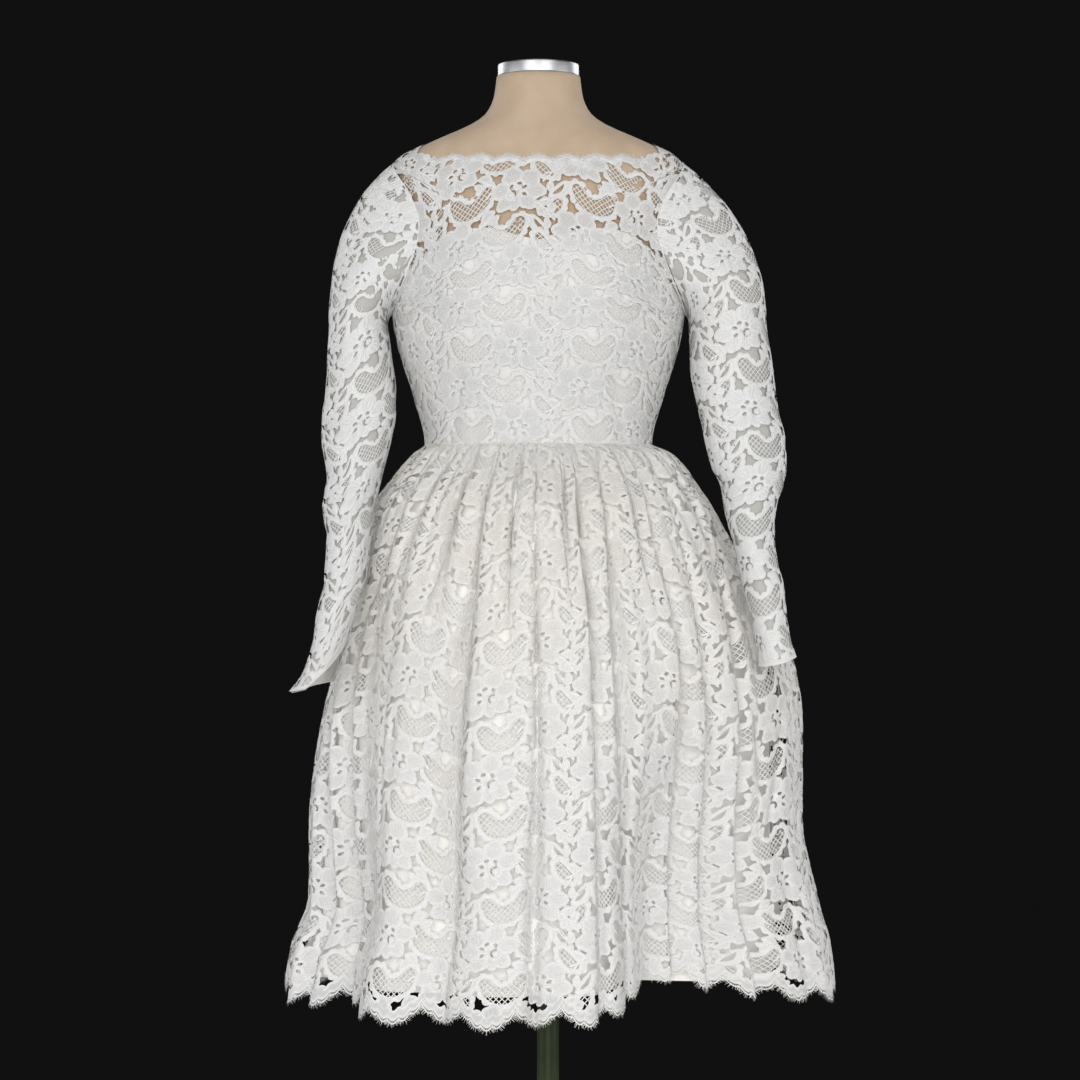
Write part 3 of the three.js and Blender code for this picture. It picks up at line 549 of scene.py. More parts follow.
def resampled(line, step, closed):
    """Line with even steps."""
    if closed:
        line = np.vstack([line, line[:1]])
    along = np.concatenate([[0], np.cumsum(np.linalg.norm(np.diff(line, axis=0), axis=1))])
    count = max(6 if closed else 2, int(round(along[-1] / step)))
    at = np.linspace(0, along[-1], count + 1)
    even = np.stack([np.interp(at, along, line[:, k]) for k in (0, 1)], axis=1)
    return even[:-1] if closed else even


def outward_of(outline):
    """Unit directions out of a closed outline."""
    along = unit(np.roll(outline, -1, axis=0) - np.roll(outline, 1, axis=0))
    x, y = outline.T
    turns = np.sign(np.sum(x * np.roll(y, -1) - y * np.roll(x, -1)))
    return turns * np.stack([along[:, 1], -along[:, 0]], axis=1)


def petal(length, width):
    turn = full_turn(PETAL_POINTS)
    grow = (1 - np.cos(turn)) / 2
    outline = np.stack([PETAL_FULL * width * np.sin(turn) * grow ** PETAL_FOOT, length * grow], axis=1)
    middle = np.array([0, PETAL_MIDDLE * length])
    around = np.arctan2(*(outline - middle).T)
    lobes = PETAL_DENT * np.abs(np.cos(PETAL_LOBES * around / 2))
    wave = 1 + lobes * smoothstep(grow, *PETAL_LOBE_START)
    return (outline - middle) * wave[:, None] + middle


def vein(length, width, lean):
    y = np.linspace(*VEIN_ENDS, VEIN_POINTS)
    return np.stack([lean * width * smoothstep(y, *VEIN_LEAN), y * length], axis=1)


def leaf(length, width, bend):
    turn = full_turn(LEAF_POINTS)
    y = length * (1 - np.cos(turn)) / 2
    x = width / 2 * np.sin(turn) * np.abs(np.sin(turn)) ** LEAF_ENDS
    return np.stack([x + bend * np.sin(np.pi * y / length), y], axis=1)


def oval(length, width):
    turn = full_turn(OVAL_POINTS)
    return np.stack([width / 2 * np.sin(turn), length / 2 * np.cos(turn)], axis=1)


def spline(points, count):
    """Smooth line through points."""
    points = np.asarray(points, float)
    at = np.linspace(0, len(points) - 1, count)
    ends = np.vstack([2 * points[0] - points[1], points, 2 * points[-1] - points[-2]])
    k = np.minimum(at.astype(int), len(points) - 2)
    p0, p1, p2, p3 = (ends[k + n] for n in range(4))
    return hermite(p1, (p2 - p0) / 2, p2, (p3 - p1) / 2, (at - k)[:, None])


def about_spine(spine):
    """Closed outline about a spine of x, y, width, with round ends."""
    line = spline(spine, SPLINE_POINTS)
    along = unit(np.gradient(line[:, :2], axis=0))
    side = np.stack([along[:, 1], -along[:, 0]], axis=1)
    half = line[:, 2:3] / 2
    turn = np.linspace(0, np.pi, END_POINTS + 2)[1:-1, None]
    end = line[-1, :2] + half[-1] * (side[-1] * np.cos(turn) + along[-1] * np.sin(turn))
    start = line[0, :2] - half[0] * (side[0] * np.cos(turn) + along[0] * np.sin(turn))
    return np.vstack([line[:, :2] + half * side, end, (line[:, :2] - half * side)[::-1], start])


def scalloped(outline, distance, pitch, bump):
    """Outline moved out, with small scallops along it."""
    outline = resampled(outline, BORDER_STEP, True)
    outline = resampled(outline + distance * outward_of(outline), BORDER_STEP, True)
    count = max(3, round(len(outline) * BORDER_STEP / pitch))
    wave = np.abs(np.sin(np.pi * count * np.arange(len(outline)) / len(outline)))
    return outline + bump * wave[:, None] * outward_of(outline)


def motifs():
    """Shapes of one repeat as (kind, outline), from the lowest to the highest."""
    shapes = []
    for x, y, degrees, length, width, bend in LEAVES:
        shapes.append(("cloth", turned(leaf(length, width, bend), degrees) + (x, y)))
        if length > LONG_LEAF:
            slit = leaf(SLIT_LENGTH * length, SLIT_WIDTH * width, SLIT_BEND * bend) + (0, SLIT_START * length)
            shapes.append(("gap", turned(slit, degrees) + (x, y)))
    for spine in NET_PANELS:
        inner = about_spine(spine)
        shapes.append(("cloth", scalloped(inner, NET_BORDER, BORDER_PITCH, BORDER_BUMP)))
        shapes.append(("net", inner))
    for degrees, length, width in SMALL:
        shapes.append(("cloth", turned(petal(length, width), degrees) + SMALL_AT))
    for degrees, length, width in FLOWER:
        shapes.append(("cloth", turned(petal(length, width), degrees)))
        shapes += [("vein", turned(vein(length, width, lean), degrees)) for lean in VEINS]
    shapes.append(("gap", oval(SMALL_HOLE, SMALL_HOLE) + SMALL_AT))
    for k, (degrees, reach, length, width) in enumerate(FLOWER_HOLES):
        shapes.append(("gap", turned(oval(length, width) + (0, reach), degrees)))
        if k == 0:
            shapes.append(("cloth", turned(oval(KNOT, KNOT) + (0, reach + KNOT_OUT), degrees)))
    return shapes


def half_drop(shape):
    """Mirrored copy of a shape, half a repeat further each way."""
    return shape * (-1, 1) + REPEAT / 2


def depth_in(points, outline):
    """Distance of points from a closed outline, positive inside."""
    a, b = outline, np.roll(outline, -1, axis=0)
    edge = b - a
    to = points[:, None, :] - a
    share = np.clip((to * edge).sum(-1) / (edge * edge).sum(-1), 0, 1)
    gap = np.sqrt(((to - share[..., None] * edge) ** 2).sum(-1).min(1))
    y = points[:, 1, None]
    rise = np.where(edge[:, 1] == 0, TINY, edge[:, 1])
    left_of = points[:, 0, None] < edge[:, 0] * (y - a[:, 1]) / rise + a[:, 0]
    inside = (((a[:, 1] > y) != (b[:, 1] > y)) & left_of).sum(1) % 2 == 1
    return np.where(inside, gap, -gap)


class Cords:
    """Lines on the flat cloth: points, directions beside them, widths, lengths, which go on to the next."""

    def __init__(self):
        self.points, self.beside, self.widths, self.lengths, self.joined = [], [], [], [], []

    def add(self, line, width, keep=None, closed=False):
        keep = np.ones(len(line), bool) if keep is None else keep
        if closed:
            line, keep = np.vstack([line, line[:2]]), np.concatenate([keep, keep[:2]])
        along = unit(np.gradient(line, axis=0))
        if closed:
            along[0], along[-2] = along[-2].copy(), along[1].copy()
            line, along, keep = line[:-1], along[:-1], keep[:-1]
        self.points.append(line)
        self.beside.append(np.stack([along[:, 1], -along[:, 0]], axis=1))
        self.widths.append(np.broadcast_to(width, len(line)))
        steps = np.linalg.norm(np.diff(line, axis=0), axis=1)
        self.lengths.append(np.concatenate([[0], np.cumsum(steps)]))
        self.joined.append(np.append(keep[:-1] & keep[1:], False))

    def arrays(self):
        return [np.concatenate(x) for x in (self.points, self.beside, self.widths, self.lengths, self.joined)]


class Repeat:
    """Repeat of the lace: distances into its cloth and net, its cords, veins and net threads."""

    def __init__(self):
        shapes = motifs()
        shapes += [(kind, half_drop(shape)) for kind, shape in shapes]
        self.cover = np.full(REPEAT[::-1].astype(int), -FAR)
        self.net = self.cover.copy()
        for kind, shape in shapes:
            if kind != "vein":
                self.stamp(kind, shape)
        self.cords = Cords()
        self.veins = Cords()
        for k, (kind, shape) in enumerate(shapes):
            closed = kind != "vein"
            line = resampled(shape, CORD_STEP if closed else VEIN_STEP, closed)
            keep = np.ones(len(line), bool)
            for later_kind, later in shapes[k + 1:]:
                if later_kind != "vein":
                    keep &= depth_in(self.wrapped(line, later), later) < CORD_OVERLAP
            (self.cords if closed else self.veins).add(line, CORD_WIDTHS[kind], keep, closed)
        for points in STEMS:
            line = resampled(spline(points, SPLINE_POINTS), CORD_STEP, False)
            self.cords.add(line, STEM_WIDTH)
            self.cords.add(half_drop(line), STEM_WIDTH)
        self.threads = self.net_threads()

    def wrapped(self, points, shape):
        """Points moved by whole repeats to lie about a shape."""
        middle = (shape.min(0) + shape.max(0)) / 2
        return middle + np.mod(points - middle + REPEAT / 2, REPEAT) - REPEAT / 2

    def stamp(self, kind, shape):
        low = np.floor(shape.min(0) - STAMP_MARGIN).astype(int)
        high = np.ceil(shape.max(0) + STAMP_MARGIN).astype(int)
        x, y = np.meshgrid(np.arange(low[0], high[0] + 1), np.arange(low[1], high[1] + 1))
        depth = depth_in(np.stack([x.ravel(), y.ravel()], axis=1).astype(float), shape).reshape(x.shape)
        at = (y % self.cover.shape[0], x % self.cover.shape[1])
        for field, grows in ((self.cover, "cloth"), (self.net, "net")):
            if kind == grows:
                field[at] = np.maximum(field[at], depth)
            else:
                field[at] = np.minimum(field[at], -depth)

    def value(self, field, s, t):
        rows, columns = field.shape
        i, j = np.floor(s).astype(int), np.floor(t).astype(int)
        x, y = s - i, t - j
        low = mix(field[j % rows, i % columns], field[j % rows, (i + 1) % columns], x)
        high = mix(field[(j + 1) % rows, i % columns], field[(j + 1) % rows, (i + 1) % columns], x)
        return mix(low, high, y)

    def net_threads(self):
        threads = Cords()
        across, up = NET_LINES
        for lean in (1, -1):
            for k in range(-up, across + up + 1):
                t = np.linspace(0, REPEAT[1], int(REPEAT[1] / THREAD_STEP) + 1)
                s = REPEAT[0] * (k - lean * up * t / REPEAT[1]) / across
                keep = (self.value(self.net, s, t) > -NET_OVERLAP) & (s >= 0) & (s <= REPEAT[0])
                if keep.any():
                    threads.add(np.stack([s, t], axis=1), THREAD_WIDTH, keep)
        return threads


# Materials

WHITE = (0.855, 0.853, 0.85)
# The bodice lace is the skirt's lace in a darker white: painted shade for the dimmer light on the bodice.
SHADED_TOP_WHITE = (0.785, 0.785, 0.784)
# The sleeve lace is the same lace in a darker white: painted shade on the sleeves.
SHADED_SLEEVE_WHITE = (0.81, 0.81, 0.808)
CREAM = (0.83, 0.775, 0.68)
SPECK = (0.8, 0.54, 0.3)
SPECK_SIZES = (0.03, 0.075)
SPECK_STRENGTH = 0.7
# Heights in metres over which the skirt lace turns cream towards the waist.
CREAM_HEIGHTS = (0.66, 0.95)
SHEER = 0.72
SLEEVE_SHEER = 0.92
LINING_SHEER = 0.68
TINT_ENDS = (0.3, 0.7)
WEAVE_WANDER = 0.6
WEAVE_SHARE = 0.6
CORD_CREAM = 0.35
TWIST_LENGTH = 0.0014
TWIST_HEIGHT = 0.12


def new_material(name, colour, roughness, **sockets):
    material = bpy.data.materials.new(name)
    material.use_nodes = True
    shader = material.node_tree.nodes["Principled BSDF"]
    shader.inputs["Base Color"].default_value = (*colour, 1)
    shader.inputs["Roughness"].default_value = roughness
    for socket, value in sockets.items():
        shader.inputs[socket.replace("_", " ")].default_value = value
    return material, material.node_tree, shader


def link(tree, start, socket, end, to):
    tree.links.new(start.outputs[socket], end.inputs[to])


def node(tree, kind, **values):
    made = tree.nodes.new(kind)
    for name, value in values.items():
        if name in made.inputs:
            made.inputs[name].default_value = value
        else:
            setattr(made, name, value)
    return made


def calculated(tree, operation, *terms):
    """Sum or other operation on terms, each a number or a node with its socket."""
    made = node(tree, "ShaderNodeMath", operation=operation)
    for k, term in enumerate(terms):
        if isinstance(term, tuple):
            link(tree, *term, made, k)
        else:
            made.inputs[k].default_value = term
    return made


def mapped(tree, source, start=(0, 1), end=(0, 1), **values):
    """Value of a node's socket carried from one span to another."""
    made = node(tree, "ShaderNodeMapRange", **values)
    for socket, value in zip(("From Min", "From Max", "To Min", "To Max"), (*start, *end)):
        made.inputs[socket].default_value = value
    link(tree, *source, made, "Value")
    return made


def noise_over(tree, place, scale, detail):
    noise = node(tree, "ShaderNodeTexNoise", Scale=scale, Detail=detail)
    link(tree, place, "Object", noise, "Vector")
    return noise


def colour_between(tree, low, high, ends=(0, 1)):
    ramp = node(tree, "ShaderNodeValToRGB")
    for element, colour, end in zip(ramp.color_ramp.elements, (low, high), ends):
        element.color = (*colour, 1)
        element.position = end
    return ramp


def add_bump(tree, shader, source, socket, strength, depth):
    bump = node(tree, "ShaderNodeBump", Strength=strength, Distance=depth)
    link(tree, source, socket, bump, "Height")
    link(tree, bump, "Normal", shader, "Normal")


def add_weave(tree, shader, thread, depth):
    """Bump of a plain weave with threads of a width in metres."""
    place = node(tree, "ShaderNodeTexCoord")
    waves = []
    for direction in ("X", "Y"):
        wave = node(tree, "ShaderNodeTexWave", Scale=math.pi / (10 * thread), Distortion=WEAVE_WANDER)
        wave.bands_direction = direction
        link(tree, place, "UV", wave, "Vector")
        waves.append((wave, "Fac"))
    both = calculated(tree, "MAXIMUM", *waves)
    fuzz = noise_over(tree, place, scale=420, detail=4)
    total = calculated(tree, "MULTIPLY_ADD", (both, 0), WEAVE_SHARE, (fuzz, "Fac"))
    add_bump(tree, shader, total, 0, strength=0.5, depth=depth)
    return place


def tinted(tree, shader, place, scale, low, high):
    """Colour that drifts softly between two tones over the cloth."""
    ramp = colour_between(tree, low, high, TINT_ENDS)
    link(tree, noise_over(tree, place, scale, detail=3), "Fac", ramp, "Fac")
    link(tree, ramp, "Color", shader, "Base Color")


def add_cream_and_specks(tree, shader, place):
    """Cream tone that grows towards the waist, and a few rusty specks."""
    height = node(tree, "ShaderNodeSeparateXYZ")
    link(tree, place, "Object", height, "Vector")
    # The cream tone grows with height towards the waist, in noise patches.
    creamy = mapped(tree, (height, "Z"), start=CREAM_HEIGHTS, interpolation_type="SMOOTHSTEP")
    patches = noise_over(tree, place, scale=7, detail=3)
    cream_share = calculated(tree, "MULTIPLY", (creamy, "Result"), (patches, "Fac"))
    ground = colour_between(tree, WHITE, CREAM)
    link(tree, cream_share, 0, ground, "Fac")
    spots = node(tree, "ShaderNodeTexVoronoi", Scale=55)
    link(tree, place, "Object", spots, "Vector")
    mark = mapped(tree, (spots, "Distance"), start=SPECK_SIZES, end=(SPECK_STRENGTH, 0))
    marked = node(tree, "ShaderNodeMix", data_type="RGBA")
    marked.inputs["B"].default_value = (*SPECK, 1)
    link(tree, mark, "Result", marked, "Factor")
    link(tree, ground, "Color", marked, "A")
    link(tree, marked, "Result", shader, "Base Color")


def lace_material(name, white, least_cover, creamy=False):
    """Clothwork of the lace: sheer inside its outlines, down to a least cover."""
    material, tree, shader = new_material(name, white, roughness=0.8, Sheen_Weight=0.25, Sheen_Roughness=0.6)
    place = add_weave(tree, shader, thread=0.0011, depth=0.00035)
    tone = node(tree, "ShaderNodeAttribute", attribute_name="tone")
    sheer = mapped(tree, (tone, "Fac"), end=(least_cover, 1))
    link(tree, sheer, "Result", shader, "Alpha")
    if creamy:
        add_cream_and_specks(tree, shader, place)
    return material


def cord_material(name, white):
    """Twisted thread, rounded across its width: UV x runs from -1 to 1 across, y along in metres."""
    material, tree, shader = new_material(name, white, roughness=0.7, Sheen_Weight=0.2)
    place = node(tree, "ShaderNodeTexCoord")
    cream = mix(np.array(white), np.array(CREAM), CORD_CREAM)
    tinted(tree, shader, place, scale=6, low=cream, high=white)
    uv = node(tree, "ShaderNodeSeparateXYZ")
    link(tree, place, "UV", uv, "Vector")
    across, along = (uv, "X"), (uv, "Y")
    turns = calculated(tree, "MULTIPLY_ADD", along, 2 * math.pi / TWIST_LENGTH, across)
    twist = calculated(tree, "SINE", (turns, 0))
    height = calculated(tree, "MULTIPLY", (twist, 0), TWIST_HEIGHT)
    square = calculated(tree, "MULTIPLY", across, across)
    round_top = calculated(tree, "SUBTRACT", (height, 0), (square, 0))
    add_bump(tree, shader, round_top, 0, strength=0.6, depth=0.0005)
    return material


def satin_material(name, low, high, roughness=0.6, cover=1.0):
    material, tree, shader = new_material(name, high, roughness, Sheen_Weight=0.15, Anisotropic=0.3,
                                          Specular_IOR_Level=0.25, Alpha=cover)
    place = add_weave(tree, shader, thread=0.0005, depth=0.00008)
    tinted(tree, shader, place, scale=4, low=low, high=high)
    return material


def linen_material():
    material, tree, shader = new_material("tan_linen", (0.54, 0.41, 0.29), roughness=0.92, Sheen_Weight=0.1)
    place = add_weave(tree, shader, thread=0.0011, depth=0.0003)
    tinted(tree, shader, place, scale=30, low=(0.5, 0.37, 0.255), high=(0.58, 0.445, 0.325))
    return material


def enamel_material():
    material, tree, shader = new_material("green_enamel", (0.02, 0.034, 0.01), roughness=0.45,
                                          Specular_IOR_Level=0.3)
    place = node(tree, "ShaderNodeTexCoord")
    tinted(tree, shader, place, scale=18, low=(0.016, 0.028, 0.006), high=(0.028, 0.042, 0.01))
    ripple = noise_over(tree, place, scale=160, detail=5)
    add_bump(tree, shader, ripple, "Fac", strength=0.12, depth=0.0004)
    return material


def silver_material():
    material, tree, shader = new_material("polished_silver", (0.55, 0.555, 0.57), roughness=0.4, Metallic=1.0)
    place = node(tree, "ShaderNodeTexCoord")
    stretch = node(tree, "ShaderNodeMapping", Scale=(1, 1, 40))
    link(tree, place, "Object", stretch, "Vector")
    lines = node(tree, "ShaderNodeTexNoise", Scale=60, Detail=6)
    link(tree, stretch, "Vector", lines, "Vector")
    add_bump(tree, shader, lines, "Fac", strength=0.08, depth=0.0003)
    return material


LACE = lace_material("ivory_skirt_lace", WHITE, SHEER, creamy=True)
CORD = cord_material("ivory_skirt_cord", WHITE)
# Bodice lace and cords, and the seam cords, in the darker bodice white: painted shade.
SHADED_TOP_LACE = lace_material("ivory_lace_painted_shade", SHADED_TOP_WHITE, SHEER)
SHADED_TOP_CORD = cord_material("ivory_cord_painted_shade", SHADED_TOP_WHITE)
# Sleeve lace and cords in the darker sleeve white: painted shade.
SHADED_SLEEVE_LACE = lace_material("ivory_sleeve_lace_painted_shade", SHADED_SLEEVE_WHITE, SLEEVE_SHEER)
SHADED_SLEEVE_CORD = cord_material("ivory_sleeve_cord_painted_shade", SHADED_SLEEVE_WHITE)
# Skirt satin brightened to lift the shadows the lace casts on it: painted light.
BRIGHTENED_SATIN = satin_material("ivory_satin_painted_light", (0.91, 0.885, 0.84), (0.95, 0.935, 0.91))
# Bodice satin is the same satin made darker: painted shade on the bodice.
SHADED_BODICE_SATIN = satin_material("ivory_bodice_satin_painted_shade", (0.77, 0.757, 0.73), (0.81, 0.8, 0.78))
PLACKET_CLOTH = satin_material("ivory_placket", (0.78, 0.775, 0.76), (0.82, 0.815, 0.8), roughness=0.7)
SLEEVE_SATIN = satin_material("cream_lining", (0.7, 0.69, 0.65), (0.76, 0.75, 0.72), cover=LINING_SHEER)
LINEN = linen_material()
ENAMEL = enamel_material()
SILVER = silver_material()


# Meshes

RELIEF = 0.6
RELIEF_RUN = 4.0
SHEER_START = 0.4
LEAST_STEEPNESS = 0.2
RIM_SHIFT = 0.7
CORD_LIFT = 0.55
VEIN_LIFT = 0.85
THREAD_LIFT = 0.1
EDGE_SEARCH = 6
LASH_STEP = 0.9
LASH_LENGTH = 4.8
LASH_SHARES = (0.5, 1.0)
LASH_WIDTH = 0.4
LASH_TIP = 0.3
LASH_LEAN = 0.2
LASH_SCATTER = 0.8
LASH_CROWN = 0.4
# How far along a hair its middle and its tip are, and how far they lean.
LASH_MIDDLE = (0.55, 0.3)
LASH_END = (1.0, 0.9)
TUBE_SIDES = 8
NEARLY_UP = np.array([0.17, 0.13, 1.0])
LATHE_SEGMENTS = 96
CORNER_STEPS = 5
CORNER_SHARE = 2.1

# Finish of a shaped edge: start of the cloth, end of its solid band, cords as depth and width, whether the
# edge is the top one, and whether it has eyelash fringe.
Finish = namedtuple("Finish", "slit band cords at_top lashes")


def piece(name, vertices, faces, material, uv=None, tone=None, offset=FORM_OFFSET):
    """Mesh object from vertices and faces in millimetres, which rides on the part."""
    mesh = bpy.data.meshes.new(name)
    mesh.from_pydata(((vertices + offset) * MM).tolist(), [], faces.tolist())
    mesh.shade_smooth()
    if uv is not None:
        corners = np.empty(len(mesh.loops), np.int32)
        mesh.loops.foreach_get("vertex_index", corners)
        mesh.uv_layers.new(name="flat").uv.foreach_set("vector", uv[corners].astype(np.float32).ravel())
    if tone is not None:
        mesh.attributes.new("tone", "FLOAT", "POINT").data.foreach_set("value", tone.astype(np.float32))
    mesh.materials.append(material)
    made = bpy.data.objects.new(name, mesh)
    bpy.context.scene.collection.objects.link(made)
    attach(made, BODY)
    return made


def grid_faces(rows, columns, closed=False):
    i, j = np.meshgrid(np.arange(columns if closed else columns - 1), np.arange(rows - 1))
    i, after = i.ravel(), (i.ravel() + 1) % columns
    low = j.ravel() * columns
    high = low + columns
    return np.stack([low + i, low + after, high + after, high + i], axis=1)


def area_of(points, faces):
    a, b, c, d = (points[faces[:, k]] for k in range(4))
    halves = np.cross(b - a, c - a), np.cross(c - a, d - a)
    return sum(np.linalg.norm(half, axis=1) for half in halves).sum() / 2


def plain_sheet(name, node_names, panel, material):
    """Whole panel of cloth."""
    flat = np.stack([panel.across.ravel(), panel.up.ravel()], axis=1)
    points = panel.points.reshape(-1, 3)
    faces = grid_faces(*panel.across.shape)
    made = piece(name, points, faces, material, flat * MM)
    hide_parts(*node_names)


def cells_about(cells):
    """Number of cells set among those that meet at each grid point."""
    padded = np.pad(cells.astype(int), 1)
    return padded[:-1, :-1] + padded[1:, :-1] + padded[:-1, 1:] + padded[1:, 1:]


def lace_sheet(name, panel, material, finish):
    """Cloth of the lace on a panel, cut out along its motifs, with the solid band of its finish."""
    rows, columns = panel.across.shape
    cover = LACE_REPEAT.value(LACE_REPEAT.cover, panel.across, panel.up)
    cover = np.minimum(panel.edge - finish.slit, np.maximum(cover, finish.band - panel.edge))
    kept = (cover[:-1, :-1] + cover[1:, :-1] + cover[:-1, 1:] + cover[1:, 1:]) / 4 > 0
    touching = cells_about(kept)
    rim = (touching > 0) & (touching < cells_about(np.ones_like(kept)))
    slope_s = np.gradient(cover, axis=1) / panel.across_step
    slope_t = np.gradient(cover, axis=0) / panel.up_step
    steep = np.maximum(slope_s ** 2 + slope_t ** 2, LEAST_STEEPNESS)
    column, row = np.meshgrid(np.arange(columns, dtype=float), np.arange(rows, dtype=float))
    move = np.where(rim, -cover / steep, 0)
    shift_i = np.clip(move * slope_s / panel.across_step, -RIM_SHIFT, RIM_SHIFT)
    shift_j = np.clip(move * slope_t / panel.up_step, -RIM_SHIFT, RIM_SHIFT)
    shift_i[:, [0, -1]] = 0
    shift_j[[0, -1], :] = 0
    column, row = (column + shift_i).ravel(), (row + shift_j).ravel()
    faces = grid_faces(rows, columns)[kept.ravel()]
    used = np.unique(faces)
    renumber = np.zeros(rows * columns, int)
    renumber[used] = np.arange(len(used))
    column, row, inside = column[used], row[used], np.where(rim, 0, cover).ravel()[used]
    point, _, _, normal = panel.frame_at(column, row)
    flat = np.stack([panel.sample(panel.across, column, row), panel.sample(panel.up, column, row)], axis=1)
    lift = RELIEF * smoothstep(inside, 0, RELIEF_RUN)
    tone = 1 - smoothstep(inside, SHEER_START, RELIEF_RUN)
    made = piece(name, point + lift[:, None] * normal, renumber[faces], material, flat * MM, tone)
    flat3 = np.column_stack([flat, np.zeros(len(flat))])
    return made, area_of(flat3, renumber[faces]) * MM * MM


def ribbons(panel, lines, lift, band=0, repeated=True):
    """Vertices, faces and UV of flat-lying cords along lines of the flat cloth."""
    points, beside, widths, lengths, joined = lines.arrays()
    corner, opposite = ((edge(panel.across), edge(panel.up)) for edge in (np.min, np.max))
    if repeated:
        first = np.floor(corner / REPEAT).astype(int) - 1
        last = np.ceil(opposite / REPEAT).astype(int) + 1
        moves = [(a, b) for a in range(first[0], last[0] + 1) for b in range(first[1], last[1] + 1)]
        points = (points[None] + np.array(moves)[:, None] * REPEAT).reshape(-1, 2)
        beside = np.tile(beside, (len(moves), 1))
        widths, lengths, joined = (np.tile(values, len(moves)) for values in (widths, lengths, joined))
    ok = ((points > corner) & (points < opposite)).all(axis=1)
    at = np.flatnonzero(ok)
    column, row = np.zeros(len(points)), np.zeros(len(points))
    column[at], row[at], on_cloth = panel.locate(points[at, 0], points[at, 1])
    ok[at] = on_cloth & (panel.sample(panel.edge, column[at], row[at]) >= band)
    starts = np.flatnonzero(joined[:-1] & ok[:-1] & ok[1:])
    used = np.unique(np.concatenate([starts, starts + 1]))
    renumber = np.zeros(len(points), int)
    renumber[used] = np.arange(len(used))
    point, along, rise, normal = panel.frame_at(column[used], row[used])
    side = unit(beside[used, :1] * along + beside[used, 1:] * rise) * widths[used, None] / 2
    base = point + lift * normal
    a, b, count = renumber[starts], renumber[starts + 1], len(used)
    uv = np.concatenate([np.column_stack([np.full(count, edge), lengths[used] * MM]) for edge in (-1, 1)])
    return np.vstack([base - side, base + side]), np.stack([a, a + count, b + count, b], axis=1), uv


def merged(parts):
    """One list of vertices, faces and UV from several."""
    starts = np.cumsum([0] + [len(vertices) for vertices, _, _ in parts])
    faces = np.vstack([part[1] + start for part, start in zip(parts, starts)])
    return np.vstack([part[0] for part in parts]), faces, np.vstack([part[2] for part in parts])


def edge_line(panel, depth, at_top):
    """Flat line at a distance from the shaped edge of a panel."""
    order = slice(None, None, -1) if at_top else slice(None)
    line = []
    for c in range(panel.across.shape[1]):
        edge = panel.edge[order, c]
        until = np.argmax(edge > depth + EDGE_SEARCH) + 1
        t = np.interp(depth, edge[:until], panel.up[order, c][:until])
        s = np.interp(depth, edge[:until], panel.across[order, c][:until])
        line.append((s, t))
    return np.array(line)


def eyelash(name, panel, material, finish):
    """Fine hairs that stand out of a shaped edge."""
    line = resampled(edge_line(panel, finish.slit, finish.at_top), LASH_STEP, False)
    along = unit(np.gradient(line, axis=0))
    out = np.stack([-along[:, 1], along[:, 0]], axis=1)
    out *= np.sign(out[:, 1:]) * (1 if finish.at_top else -1)
    column, row, ok = panel.locate(line[:, 0], line[:, 1])
    along, out, column, row = (values[ok] for values in (along, out, column, row))
    count = len(out)
    lean = rng.normal(0, LASH_LEAN, count)[:, None]
    length = finish.slit + LASH_LENGTH * rng.uniform(*LASH_SHARES, count)[:, None]
    scatter = rng.normal(0, LASH_SCATTER, count)[:, None]
    point, step_s, step_t, normal = panel.frame_at(column, row)
    along = unit(along[:, :1] * step_s + along[:, 1:] * step_t)
    out = unit(out[:, :1] * step_s + out[:, 1:] * step_t)
    places = [point]
    for (far, leaning), lift in ((LASH_MIDDLE, LASH_CROWN), (LASH_END, scatter)):
        places.append(point + far * length * out + leaning * lean * length * along + lift * normal)
    half = LASH_WIDTH / 2
    vertices = [place + width * along for place, end in zip(places, (half, half, LASH_TIP * half))
                for width in (-end, end)]
    k = np.arange(count)
    corners = ((0, 1, 3, 2), (2, 3, 5, 4))
    faces = np.vstack([np.stack([k + corner * count for corner in quad], axis=1) for quad in corners])
    return piece(name, np.vstack(vertices), faces, material, np.zeros((6 * count, 2)))


def lace_panel(name, node_names, panel, materials, finish):
    """Lace on a panel: its cloth, its cords and net, and the finish of its shaped edge."""
    lace, cord = materials
    cloth, cut = lace_sheet(name, panel, lace, finish)
    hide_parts(*node_names)
    edging = Cords()
    for depth, width in finish.cords:
        edging.add(resampled(edge_line(panel, depth, finish.at_top), CORD_STEP, False), width)
    vertices, faces, uv = merged([
        ribbons(panel, LACE_REPEAT.cords, CORD_LIFT, finish.band),
        ribbons(panel, LACE_REPEAT.veins, VEIN_LIFT, finish.band),
        ribbons(panel, LACE_REPEAT.threads, THREAD_LIFT, finish.band),
        ribbons(panel, edging, CORD_LIFT, repeated=False),
    ])
    going = [piece(name + "_cords", vertices, faces, cord, uv)]
    if finish.lashes:
        going.append(eyelash(name + "_eyelash", panel, cord, finish))


